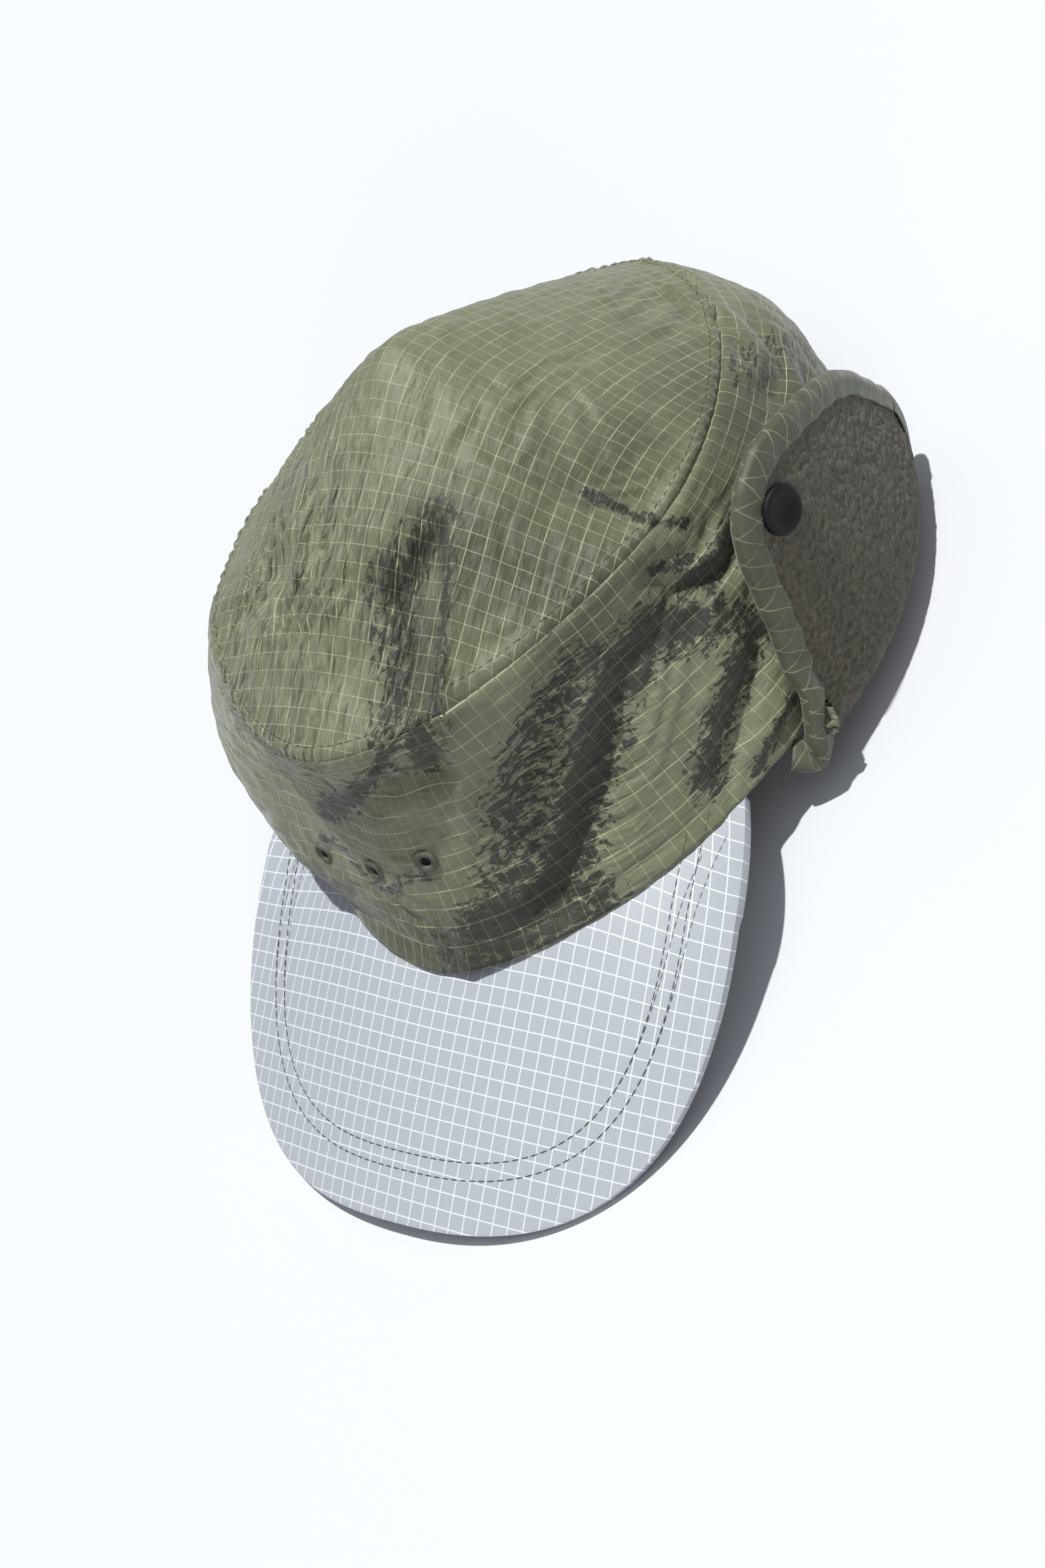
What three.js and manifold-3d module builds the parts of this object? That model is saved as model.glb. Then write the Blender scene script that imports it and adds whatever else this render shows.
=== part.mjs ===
// Earflap hat: a soft cap in thin ripstop cloth with a curved peak, three stitched eyelets and two
// fleece-faced ear flaps folded up against the outside of the band.
// Millimetres, +Z up, front of the hat towards -Y, wearer's left towards +X. Everything is worked
// out with the rim level, then the whole hat is tipped back to stand on its peak and its rim.
import * as THREE from 'three';
import { mergeVertices } from 'three/addons/utils/BufferGeometryUtils.js';
import Module from 'manifold-3d';

const wasm = await Module();
wasm.setup();

// Head opening
const RIM_HALF_WIDTH = 84.8;
const RIM_HALF_LENGTH = 101.8;
const RIM_ROUNDNESS = 2.15;
const RIM_POINTED_FRONT = 0.3;
const RIM_FRONT_DROP = 4.3;
const RIM_FRONT_DROP_SPREAD = 28;

// Seam between the band and the top panel
const SEAM_HALF_WIDTH_LEFT = 66.7;
const SEAM_HALF_WIDTH_RIGHT = 79.8;
const SEAM_HALF_LENGTH_FRONT = 91.9;
const SEAM_HALF_LENGTH_BACK = 98;
const SEAM_SHIFT_BACK = 5.2;
const SEAM_ROUNDNESS = 1.74;
const SEAM_HEIGHT = 65.5;
const SEAM_RISE_FRONT = 9.1;
const SEAM_RISE_ENDS = -1.5;
const SEAM_RISE_CORNERS = -0.8;
const SEAM_RISE_LEFT = -2;

// Fullness of the band: how far its middle stands out past the straight line from rim to seam
const FULLNESS = 3.2;
const FULLNESS_FRONT = -13.7;
const FULLNESS_ENDS = -1.7;
const FULLNESS_LEFT = -1.8;
const FULLNESS_SKEW = 2.5;
const FULLNESS_LOWNESS = 0.8;
const SLUMP_DEPTH = 24.4;
const SLUMP_ANGLE = -56;
const SLUMP_SPREAD = 24;

// Top panel
const CROWN_HEIGHT = 118.6;
const CROWN_APEX_BACK = 14.6;
const CROWN_SLOPE_POWER = 1.07;
const CROWN_APEX_ROUNDING = 0.06;

// Cloth
const CLOTH = 1.6;
const HEM = 2.2;
const FLEECE = 2.2;
const FLAP_CLOTH = 1.2;
const GAP = 0.35;
const SEAM_GAP_LEVELS = 0.0025;

// Grid of the crown. Columns of the band crowd together at the crease and lean along with it.
const BAND_COLUMNS = 76;
const BAND_ROWS = 12;
const HEM_LEVELS = 0.05;
const TOP_CELLS = 26;
const CROWDING = 0.35;
const CREASE_ANGLE = 24;
const CREASE_LEAN = 25;
const CREASE_LEAN_SPREAD = 45;

// Folds and dents in the crown. A row runs from one place to another, each given by the angle
// round the head from the front, positive to the wearer's left, and the level: 0 rim, 1 seam,
// 2 top. Rows with the same name make one line. Positive height stands out, negative is pressed
// in; a sharp fold comes to an edge.
const CROWN_FOLDS = [
  { name: 'pressed crease', from: [11, 0], to: [25, 0.48], width: 10, height: 3.2, sharp: true },
  { name: 'pressed crease', from: [25, 0.48], to: [37, 1], width: 10, height: 3.2, sharp: true },
  { name: 'pressed crease', from: [37, 1], to: [46, 1.38], width: 9, height: 3, sharp: true },
  { name: 'hollow beside crease', from: [42, 1.42], to: [28, 1.34], width: 9, height: -4.5 },
  { name: 'hollow beside crease', from: [28, 1.34], to: [24, 1.1], width: 9, height: -4.5 },
  { name: 'shoulder ridge', from: [0, 1.36], to: [18, 1.46], width: 11, height: 2.6 },
  { name: 'shoulder ridge', from: [18, 1.46], to: [40, 1.5], width: 11, height: 2.6 },
  { name: 'right shoulder', from: [-52, 1.02], to: [-64, 0.8], width: 14, height: 2 },
  { name: 'dent over left seam', from: [74, 1.25], to: [90, 1.06], width: 9, height: -2.6 },
  { name: 'ridge over left seam', from: [62, 1.38], to: [74, 1.09], width: 10, height: 1.8 },
  { name: 'pocket behind flap', from: [82, 0.84], to: [98, 0.74], width: 8, height: -3.2 },
  { name: 'long slanting dent', from: [78, 0.68], to: [64, 0.7], width: 9, height: -3.8 },
  { name: 'long slanting dent', from: [64, 0.7], to: [49, 0.43], width: 9, height: -3.8 },
  { name: 'long slanting dent', from: [49, 0.43], to: [34, 0.16], width: 9, height: -3.8 },
  { name: 'short slanting dent', from: [57, 0.88], to: [40, 0.58], width: 8, height: -2 },
  { name: 'dent before flap', from: [88, 0.46], to: [66, 0.15], width: 9, height: -3 },
  { name: 'dent under front seam', from: [-10, 0.76], to: [26, 0.81], width: 7, height: -3.4 },
  { name: 'full forehead', from: [-32, 0.32], to: [2, 0.4], width: 20, height: 5.5 },
  { name: 'back ridge', from: [157, 0.73], to: [134, 0.71], width: 10, height: 1.2 },
  { name: 'left back hollow', from: [150, 0.4], to: [124, 0.36], width: 11, height: -2.6 },
  { name: 'right back hollow', from: [-120, 0.4], to: [-150, 0.6], width: 12, height: -2.6 },
];

// Peak: a flat shape bent round the forehead, measured across and forwards on the flat
const PEAK_THICKNESS = 2.6;
const PEAK_PITCH = 27;
const PEAK_HALF_WIDTH = 90.6;
const PEAK_LENGTH = 72.1;
const PEAK_WIDEST_BACK = 24.4;
const PEAK_ROUNDNESS = 2.64;
const PEAK_FLARE = 4.6;
const PEAK_FLARE_LENGTH = 60;
const PEAK_FLARE_POWER = 1.3;
const PEAK_CORNER_BACK = 56.8;
const PEAK_MIDDLE_BACK = -2.5;
const PEAK_BACK_POWER = 1.9;
const PEAK_CORNER_WIDTH = 92.5;
const PEAK_SPREAD_POWER = 5;
const PEAK_BEND = 0.005;
const PEAK_BEND_FORWARD_GAIN = 0.00124;
const PEAK_BEND_EASE = 1.5;
const PEAK_BEND_EASE_WIDTH = 85;
const PEAK_NARROWING = 0.014;
const PEAK_BOW = 1.1;
const PEAK_DROP = 4.1;
const PEAK_SETBACK = 1.15;
const PEAK_TUCK_POWER = 2.5;
const PEAK_UNDER_RIM = 1.8;
const PEAK_RIM_ANGLE = 67;
const PEAK_SIDE_SHARE = 0.36;
const PEAK_STRAIGHT_SHARE = 0.26;
const PEAK_COLUMNS = 26;
const PEAK_ROWS = 8;

// Ear flaps seen from the side: along runs backwards from the middle of the head, up from the
// rim. The fold table also says where each place is sewn to the rim.
const FLAP_EDGE = [
  { along: -10, up: 0 },
  { along: -2, up: 27 },
  { along: 4, up: 50 },
  { along: 9, up: 60 },
  { along: 21.5, up: 66 },
  { along: 48, up: 57.5 },
  { along: 62, up: 47.5 },
  { along: 71, up: 34.5 },
  { along: 79, up: 20 },
];
const FLAP_FOLD = [
  { along: -13, up: -6.8, sewn: -18 },
  { along: 8, up: -5.2, sewn: 2 },
  { along: 34, up: -2, sewn: 24 },
  { along: 58, up: 2, sewn: 42 },
  { along: 76, up: 7, sewn: 58 },
];
const FLAP_STACK = FLEECE + GAP + FLAP_CLOTH;
const FLAP_FOLD_RISE = 6;
const FLAP_TURN_DEPTH = 3.2;
const FLAP_ROOT_DROP = 0.7;
const FLAP_REACH_CENTRE = 25;
const FLAP_BEND_RADIUS = 82;
const FLAP_SIDES = [
  { name: 'left', side: 1, reach: 96, leanIn: 4, tallness: 1, clearance: 5.7 },
  { name: 'right', side: -1, reach: 90, leanIn: 12, tallness: 0.92, clearance: 6.2 },
];
const FLAP_LEAN_HEIGHT = 70;
const FLAP_SOFTNESS = 2;
const FLAP_COLUMNS = 16;
const FLAP_TURN_ROWS = 3;
const FLAP_FACE_ROWS = 4;

// Rolled edge of the flap
const BINDING_RADIUS = 2.8;
const BINDING_GAP = 0.95;
const BINDING_SIDES = 7;
const BINDING_STEPS = 34;
const BINDING_FRONT_ROWS = [0, 1, 2, 3];
const BINDING_BACK_ROWS = [3, 2];

// Snap disc on the fleece, near the rolled edge
const SNAP = { along: 15.5, up: 55.5 };
const SNAP_RADIUS = 6.6;
const SNAP_HEIGHT = 1.7;
const SNAP_ROUNDING = 0.8;
const SNAP_SIDES = 16;

// Eyelets in the front of the band
const EYELETS = [
  { name: 'eyelet_1', angle: -25, level: 0.33 },
  { name: 'eyelet_2', angle: -7.5, level: 0.36 },
  { name: 'eyelet_3', angle: 13, level: 0.43 },
];
const EYELET_OUTER_RADIUS = 3.8;
const EYELET_HOLE_RADIUS = 1.5;
const EYELET_HEIGHT = 1;
const EYELET_ROUNDING = 0.3;
const EYELET_SIDES = 12;
const EYELET_DRILL_LENGTH = 12;
const EYELET_DRILL_SIDES = 8;

// How the hat rests: tipped back, standing on the peak and the back of the rim
const REST_TIP = 9.44;
const REST_LIFT = 15.59;
const CENTRE_SHIFT = { x: 2.31, y: 23.07 };

const UP = new THREE.Vector3(0, 0, 1);
const MERGE = 1e-4;
const NORMAL_STEP = 0.02;
const REACH_ANGLES = [20, 170];

function radians(degrees) {
  return THREE.MathUtils.degToRad(degrees);
}

function bell(distance, spread) {
  return Math.exp(-((distance / spread) ** 2));
}

function range(count) {
  return Array.from({ length: count }, (_, i) => i);
}

// Point of an oval whose angle starts at the front and grows towards the wearer's left
function oval(angle, halfWidth, halfLength, roundness) {
  const power = 2 / roundness;
  const s = Math.sin(angle);
  const c = Math.cos(angle);
  const x = halfWidth * Math.sign(s) * Math.abs(s) ** power;
  const y = -halfLength * Math.sign(c) * Math.abs(c) ** power;
  return new THREE.Vector3(x, y, 0);
}

function rimPoint(angle) {
  const frontness = THREE.MathUtils.clamp(3 * Math.cos(angle), 0, 1);
  const roundness = RIM_ROUNDNESS - RIM_POINTED_FRONT * frontness;
  const point = oval(angle, RIM_HALF_WIDTH, RIM_HALF_LENGTH, roundness);
  point.z = -RIM_FRONT_DROP * bell(THREE.MathUtils.radToDeg(angle), RIM_FRONT_DROP_SPREAD);
  return point;
}

function seamPoint(angle) {
  const c = Math.cos(angle);
  const s = Math.sin(angle);
  const halfWidth = s > 0 ? SEAM_HALF_WIDTH_LEFT : SEAM_HALF_WIDTH_RIGHT;
  const halfLength = c > 0 ? SEAM_HALF_LENGTH_FRONT : SEAM_HALF_LENGTH_BACK;
  const point = oval(angle, halfWidth, halfLength, SEAM_ROUNDNESS);
  point.y += SEAM_SHIFT_BACK;
  point.z = SEAM_HEIGHT + SEAM_RISE_FRONT * c + SEAM_RISE_LEFT * s;
  point.z += SEAM_RISE_ENDS * Math.cos(2 * angle) + SEAM_RISE_CORNERS * Math.cos(3 * angle);
  return point;
}

function bandFullness(angle, level) {
  const c = Math.cos(angle);
  const s = Math.sin(angle);
  const slump = SLUMP_DEPTH * bell(THREE.MathUtils.radToDeg(angle) - SLUMP_ANGLE, SLUMP_SPREAD);
  const around = FULLNESS + FULLNESS_FRONT * c + FULLNESS_LEFT * s;
  const uneven = FULLNESS_ENDS * Math.cos(2 * angle) + FULLNESS_SKEW * Math.sin(2 * angle);
  return (around + uneven + slump) * Math.sin(Math.PI * level ** FULLNESS_LOWNESS);
}

// The crown without its folds: level 0 is the rim, 1 the seam and 2 the top of the hat
function smoothCrown(angle, level) {
  if (level <= 1) {
    const point = rimPoint(angle).lerp(seamPoint(angle), level);
    const full = bandFullness(angle, level);
    point.x += Math.sin(angle) * full;
    point.y -= Math.cos(angle) * full;
    return point;
  }
  const seam = seamPoint(angle);
  const spread = 2 - level;
  const rounded = Math.hypot(spread, CROWN_APEX_ROUNDING) - CROWN_APEX_ROUNDING;
  const whole = Math.hypot(1, CROWN_APEX_ROUNDING) - CROWN_APEX_ROUNDING;
  const rise = 1 - (rounded / whole) ** CROWN_SLOPE_POWER;
  const x = seam.x * spread;
  const y = seam.y * spread + CROWN_APEX_BACK * (1 - spread);
  return new THREE.Vector3(x, y, THREE.MathUtils.lerp(seam.z, CROWN_HEIGHT, rise));
}

// Outward direction of a crown surface, halfway between both sides where there is an edge
function normalOf(surface, angle, level) {
  const above = Math.min(level + NORMAL_STEP, 2);
  const below = Math.max(level - NORMAL_STEP, 0);
  const round = surface(angle + NORMAL_STEP, level).sub(surface(angle - NORMAL_STEP, level));
  const climb = surface(angle, above).sub(surface(angle, below));
  const normal = round.cross(climb);
  return normal.lengthSq() > MERGE ? normal.normalize() : UP.clone();
}

function placeOn(surface, [angle, level]) {
  return surface(radians(angle), level);
}

const foldRows = CROWN_FOLDS.map((fold) => ({
  ...fold,
  line: new THREE.Line3(placeOn(smoothCrown, fold.from), placeOn(smoothCrown, fold.to)),
}));

// How far the folds push a point out: the strongest row of each name, all names together
function foldHeight(point) {
  const nearest = new THREE.Vector3();
  const strongest = new Map();
  for (const fold of foldRows) {
    const distance = fold.line.closestPointToPoint(point, true, nearest).distanceTo(point);
    const share = fold.sharp ? Math.exp(-distance / fold.width) : bell(distance, fold.width);
    const height = fold.height * share;
    const before = strongest.get(fold.name) ?? 0;
    strongest.set(fold.name, Math.abs(height) > Math.abs(before) ? height : before);
  }
  return [...strongest.values()].reduce((sum, height) => sum + height, 0);
}

function crownPoint(angle, level) {
  const point = smoothCrown(angle, level);
  return point.addScaledVector(normalOf(smoothCrown, angle, level), foldHeight(point));
}

// Outward direction of the cloth. Both edges of the seam share one, so their walls meet squarely,
// and at the rim it is level, so the hem is cut flat.
function clothNormal(angle, level) {
  const nearSeam = Math.abs(level - 1) < 2 * SEAM_GAP_LEVELS;
  const normal = normalOf(crownPoint, angle, nearSeam ? 1 : level);
  if (level === 0) {
    normal.setZ(0).normalize();
  }
  return normal;
}

// Closed wall between a front grid and a back grid of points. Columns may wrap round. Each cell
// is split along the shorter diagonal of the guide grid, so that stacked layers split alike.
function wallGeometry(front, back, wraps, guide = front) {
  const rows = front.length;
  const columns = front[0].length;
  const positions = [];
  const quad = (a, b, c, d, split = true) => {
    const corners = split ? [a, b, c, a, c, d] : [a, b, d, b, c, d];
    positions.push(...corners.flatMap((corner) => corner.toArray()));
  };
  const lastColumn = wraps ? columns : columns - 1;
  for (let i = 0; i < rows - 1; i += 1) {
    for (let j = 0; j < lastColumn; j += 1) {
      const k = (j + 1) % columns;
      const down = guide[i][j].distanceTo(guide[i + 1][k]);
      const split = down < guide[i][k].distanceTo(guide[i + 1][j]);
      quad(front[i][j], front[i][k], front[i + 1][k], front[i + 1][j], split);
      quad(back[i][k], back[i][j], back[i + 1][j], back[i + 1][k], !split);
    }
  }
  for (let j = 0; j < lastColumn; j += 1) {
    const k = (j + 1) % columns;
    const i = rows - 1;
    quad(back[0][j], back[0][k], front[0][k], front[0][j]);
    quad(front[i][j], front[i][k], back[i][k], back[i][j]);
  }
  if (!wraps) {
    const j = columns - 1;
    for (let i = 0; i < rows - 1; i += 1) {
      quad(front[i][0], front[i + 1][0], back[i + 1][0], back[i][0]);
      quad(front[i + 1][j], front[i][j], back[i][j], back[i + 1][j]);
    }
  }
  const geometry = new THREE.BufferGeometry();
  geometry.setAttribute('position', new THREE.Float32BufferAttribute(positions, 3));
  return closed(geometry);
}

// Shared corners, and every triangle turned over where the volume would come out negative
function closed(rough) {
  const bare = rough.clone();
  bare.deleteAttribute('normal');
  bare.deleteAttribute('uv');
  const geometry = mergeVertices(bare, MERGE);
  const place = geometry.getAttribute('position');
  const index = geometry.getIndex();
  const [a, b, c] = [new THREE.Vector3(), new THREE.Vector3(), new THREE.Vector3()];
  const whole = [];
  let volume = 0;
  for (let i = 0; i < index.count; i += 3) {
    const corners = [index.getX(i), index.getX(i + 1), index.getX(i + 2)];
    if (new Set(corners).size === 3) {
      whole.push(...corners);
      a.fromBufferAttribute(place, corners[0]);
      b.fromBufferAttribute(place, corners[1]);
      c.fromBufferAttribute(place, corners[2]);
      volume += a.dot(b.cross(c));
    }
  }
  geometry.setIndex(volume < 0 ? whole.reverse() : whole);
  return geometry;
}

// Normal of each point of a grid, from its neighbours
function gridNormals(grid) {
  const lastRow = grid.length - 1;
  const lastColumn = grid[0].length - 1;
  return grid.map((row, i) => row.map((point, j) => {
    const along = row[Math.min(j + 1, lastColumn)].clone().sub(row[Math.max(j - 1, 0)]);
    const across = grid[Math.min(i + 1, lastRow)][j].clone().sub(grid[Math.max(i - 1, 0)][j]);
    return along.cross(across).normalize();
  }));
}

// Copy of a grid moved back along its normals
function backOf(grid, distance) {
  const normals = gridNormals(grid);
  return grid.map((row, i) => row.map((p, j) => p.clone().addScaledVector(normals[i][j], -distance)));
}

function toSolid(geometry) {
  const vertProperties = new Float32Array(geometry.getAttribute('position').array);
  const triVerts = new Uint32Array(geometry.getIndex().array);
  return new wasm.Manifold(new wasm.Mesh({ numProp: 3, vertProperties, triVerts }));
}

function toGeometry(solid) {
  const mesh = solid.getMesh();
  const geometry = new THREE.BufferGeometry();
  geometry.setAttribute('position', new THREE.Float32BufferAttribute(mesh.vertProperties, 3));
  geometry.setIndex(Array.from(mesh.triVerts));
  return geometry;
}

// Frame standing on a surface: its own Y points straight out
function standingOn(point, normal, lift) {
  const turn = new THREE.Quaternion().setFromUnitVectors(new THREE.Vector3(0, 1, 0), normal);
  const base = point.clone().addScaledVector(normal, lift);
  return new THREE.Matrix4().compose(base, turn, new THREE.Vector3(1, 1, 1));
}

// Cloth that would reach through the floor is pressed flat onto it
function pressOnFloor(grid) {
  const tip = radians(REST_TIP);
  const floorNormal = new THREE.Vector3(0, -Math.sin(tip), Math.cos(tip));
  for (const point of grid.flat()) {
    const height = point.dot(floorNormal) + REST_LIFT;
    point.addScaledVector(floorNormal, -Math.min(height, 0));
  }
}

// Angle of a band column: crowded round the crease, and sheared so one column runs along it
function columnAngle(share, level) {
  const crease = radians(CREASE_ANGLE);
  const turn = share * 2 * Math.PI;
  const angle = crease + turn - CROWDING * Math.sin(turn);
  const fromCrease = THREE.MathUtils.euclideanModulo(angle - crease + Math.PI, 2 * Math.PI) - Math.PI;
  const lean = radians(CREASE_LEAN) * (level - 0.5);
  return crease + fromCrease + lean * bell(fromCrease, radians(CREASE_LEAN_SPREAD));
}

function makeSideBand() {
  const top = 1 - SEAM_GAP_LEVELS;
  const rise = (top - HEM_LEVELS) / (BAND_ROWS - 1);
  const levels = [0, ...range(BAND_ROWS).map((i) => HEM_LEVELS + i * rise)];
  const shares = range(BAND_COLUMNS).map((j) => j / BAND_COLUMNS);
  const places = levels.map((level) => shares.map((share) => [columnAngle(share, level), level]));
  const outside = places.map((row) => row.map(([angle, level]) => crownPoint(angle, level)));
  const inside = places.map((row, i) => row.map(([angle, level], j) => (
    outside[i][j].clone().addScaledVector(clothNormal(angle, level), -(i < 2 ? HEM : CLOTH))
  )));
  pressOnFloor(outside);
  pressOnFloor(inside);
  let band = toSolid(wallGeometry(outside, inside, true));
  for (const eyelet of EYELETS) {
    const drill = new THREE.CylinderGeometry(
      EYELET_HOLE_RADIUS,
      EYELET_HOLE_RADIUS,
      EYELET_DRILL_LENGTH,
      EYELET_DRILL_SIDES,
    );
    band = band.subtract(toSolid(closed(drill.applyMatrix4(eyeletFrame(eyelet, 0)))));
  }
  return toGeometry(band);
}

// Square grid laid over the oval of the top panel, so that its cells are all much the same size
function topPlace(i, j) {
  const a = (2 * i) / TOP_CELLS - 1;
  const b = (2 * j) / TOP_CELLS - 1;
  const spread = Math.max(Math.abs(a), Math.abs(b));
  let angle = 0;
  if (Math.abs(a) > Math.abs(b)) {
    angle = (Math.PI / 4) * (b / a) + (a < 0 ? Math.PI : 0);
  } else if (spread > 0) {
    angle = Math.PI / 2 - (Math.PI / 4) * (a / b) + (b < 0 ? Math.PI : 0);
  }
  const signed = angle > Math.PI ? angle - 2 * Math.PI : angle;
  return [signed, 2 - spread * (1 - SEAM_GAP_LEVELS)];
}

function makeTopPanel() {
  const steps = range(TOP_CELLS + 1);
  const places = steps.map((i) => steps.map((j) => topPlace(i, j)));
  const outside = places.map((row) => row.map(([angle, level]) => crownPoint(angle, level)));
  const inside = places.map((row, i) => row.map(([angle, level], j) => (
    outside[i][j].clone().addScaledVector(clothNormal(angle, level), -CLOTH)
  )));
  return wallGeometry(outside, inside, false);
}

// Place of a point of the flat peak once it is bent and pitched
function peakPoint(flat) {
  const bend = PEAK_BEND / (1 - PEAK_BEND_FORWARD_GAIN * flat.y);
  const eased = (PEAK_BEND_EASE * flat.x ** 4) / (12 * PEAK_BEND_EASE_WIDTH ** 2);
  const sag = bend * (flat.x ** 2 / 2 - eased);
  const x = flat.x * (1 - PEAK_NARROWING * (flat.x / PEAK_HALF_WIDTH) ** 2);
  const height = -sag - PEAK_BOW * (flat.y / PEAK_LENGTH) ** 2 - PEAK_DROP;
  const pitch = radians(PEAK_PITCH);
  const reach = flat.y - PEAK_SETBACK;
  const y = -reach * Math.cos(pitch) - height * Math.sin(pitch) - RIM_HALF_LENGTH;
  const z = -reach * Math.sin(pitch) + height * Math.cos(pitch);
  return new THREE.Vector3(x, y, z);
}

// Outline of the flat peak from a back corner (0) to the middle of the front (1)
function peakOutline(share, side) {
  if (share < PEAK_STRAIGHT_SHARE) {
    const back = THREE.MathUtils.lerp(PEAK_CORNER_BACK, PEAK_WIDEST_BACK, share / PEAK_STRAIGHT_SHARE);
    const behind = (back - PEAK_WIDEST_BACK) / PEAK_FLARE_LENGTH;
    const wide = PEAK_HALF_WIDTH + PEAK_FLARE * behind ** PEAK_FLARE_POWER;
    return new THREE.Vector2(side * wide, -back);
  }
  const angle = ((share - PEAK_STRAIGHT_SHARE) / (1 - PEAK_STRAIGHT_SHARE)) * (Math.PI / 2);
  const power = 2 / PEAK_ROUNDNESS;
  const across = PEAK_HALF_WIDTH * Math.max(Math.cos(angle), 0) ** power;
  const reach = (PEAK_LENGTH + PEAK_WIDEST_BACK) * Math.sin(angle) ** power;
  return new THREE.Vector2(side * across, reach - PEAK_WIDEST_BACK);
}

function peakFront(share) {
  const fromMiddle = 2 * Math.abs(share - 0.5);
  return peakOutline(THREE.MathUtils.lerp(1, PEAK_SIDE_SHARE, fromMiddle), share < 0.5 ? -1 : 1);
}

// Where the back edge of the peak is sewn on, just under the rim
function peakSewnAt(share) {
  const angle = radians(THREE.MathUtils.lerp(-PEAK_RIM_ANGLE, PEAK_RIM_ANGLE, share));
  const point = rimPoint(angle);
  point.x -= Math.sin(angle) * PEAK_UNDER_RIM;
  point.y += Math.cos(angle) * PEAK_UNDER_RIM;
  point.z -= GAP;
  return point;
}

// Back edge of the flat peak, spread a little wider than the rim it is eased onto
function peakBack(share) {
  const corner = peakSewnAt(1).x;
  const sewn = peakSewnAt(share).x / corner;
  const across = sewn * corner + (PEAK_CORNER_WIDTH - corner) * sewn ** PEAK_SPREAD_POWER;
  const back = Math.abs(across / PEAK_CORNER_WIDTH) ** PEAK_BACK_POWER;
  return new THREE.Vector2(across, THREE.MathUtils.lerp(-PEAK_MIDDLE_BACK, -PEAK_CORNER_BACK, back));
}

// Place in the four-sided flat shape between back edge, sides and front
function peakFlat(share, forward) {
  const across = peakBack(share).lerp(peakFront(share), forward);
  const left = peakOutline(forward * PEAK_SIDE_SHARE, -1);
  const right = peakOutline(forward * PEAK_SIDE_SHARE, 1);
  const backCorners = peakBack(0).lerp(peakBack(1), share);
  const frontCorners = peakFront(0).lerp(peakFront(1), share);
  return across.add(left.lerp(right, share)).sub(backCorners.lerp(frontCorners, forward));
}

// The bent peak, drawn in along its back edge so that it meets the rim all the way round
function makePeak() {
  const grid = range(PEAK_ROWS + 1).map((i) => range(PEAK_COLUMNS + 1).map((j) => {
    const forward = i / PEAK_ROWS;
    const share = j / PEAK_COLUMNS;
    const drawnIn = peakSewnAt(share).sub(peakPoint(peakBack(share)));
    const tuck = (1 - forward) ** PEAK_TUCK_POWER;
    return peakPoint(peakFlat(share, forward)).addScaledVector(drawnIn, tuck);
  }));
  const facesDown = gridNormals(grid)[1][PEAK_COLUMNS / 2].z < 0;
  return wallGeometry(grid, backOf(grid, facesDown ? -PEAK_THICKNESS : PEAK_THICKNESS), false);
}

// Smooth line through the rows of a flap table
function flapLine(rows) {
  const points = rows.map((row) => new THREE.Vector3(0, row.along, row.up));
  return new THREE.CatmullRomCurve3(points, false, 'centripetal');
}

const flapEdgeLine = flapLine(FLAP_EDGE);
const flapFoldLine = flapLine(FLAP_FOLD);
const flapSewnLine = flapLine(FLAP_FOLD.map((row) => ({ along: row.sewn, up: row.up })));

// How far out the band's cloth reaches on one side, at a place along the head and up from the rim
function bandReach(side, along, up) {
  const level = THREE.MathUtils.clamp(up / SEAM_HEIGHT, 0, 1);
  let [low, high] = REACH_ANGLES.map(radians);
  while (high - low > MERGE) {
    const middle = (low + high) / 2;
    const before = smoothCrown(side * middle, level).y < along;
    [low, high] = before ? [middle, high] : [low, middle];
  }
  return Math.abs(crownPoint(side * low, level).x);
}

// Outer face of a flap: it hangs in its own curve, kept clear of the band
function flapPoint(flap, along, up) {
  const curve = (along - FLAP_REACH_CENTRE) ** 2 / (2 * FLAP_BEND_RADIUS);
  const own = flap.reach - curve - flap.leanIn * (Math.max(up, 0) / FLAP_LEAN_HEIGHT) ** 2;
  const clear = bandReach(flap.side, along, up) + flap.clearance;
  const reach = (own + clear + Math.hypot(own - clear, FLAP_SOFTNESS)) / 2;
  return new THREE.Vector3(flap.side * reach, along, up);
}

// One column of a flap: out from under the rim, round the fold and up the outside to the edge
function flapColumn(flap, share) {
  const fold = flapFoldLine.getPoint(share);
  const edge = flapEdgeLine.getPointAt(share);
  edge.z *= flap.tallness;
  const sewn = flapSewnLine.getPoint(share).y;
  const foldRise = Math.min(FLAP_FOLD_RISE, (edge.z - fold.z) / 2);
  const faceStart = flapPoint(flap, fold.y, fold.z + foldRise);
  const root = -(GAP + FLAP_STACK + FLAP_ROOT_DROP);
  const start = new THREE.Vector3(flap.side * (bandReach(flap.side, sewn, 0) - FLAP_STACK), sewn, root);
  const depth = fold.z - FLAP_TURN_DEPTH;
  const middle = start.clone().lerp(faceStart, 0.5);
  const firstHandle = new THREE.Vector3(middle.x, middle.y, Math.min(root, depth));
  const secondHandle = new THREE.Vector3(faceStart.x, fold.y, depth);
  const turn = new THREE.CubicBezierCurve3(start, firstHandle, secondHandle, faceStart);
  const face = range(FLAP_FACE_ROWS).map((i) => {
    const rise = (i + 1) / FLAP_FACE_ROWS;
    const along = THREE.MathUtils.lerp(fold.y, edge.y, rise);
    return flapPoint(flap, along, THREE.MathUtils.lerp(faceStart.z, edge.z, rise));
  });
  return [...turn.getPoints(FLAP_TURN_ROWS), ...face];
}

function flapGrid(flap) {
  const columns = range(FLAP_COLUMNS + 1).map((j) => flapColumn(flap, j / FLAP_COLUMNS));
  return columns[0].map((_, i) => columns.map((column) => column[i]));
}

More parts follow.
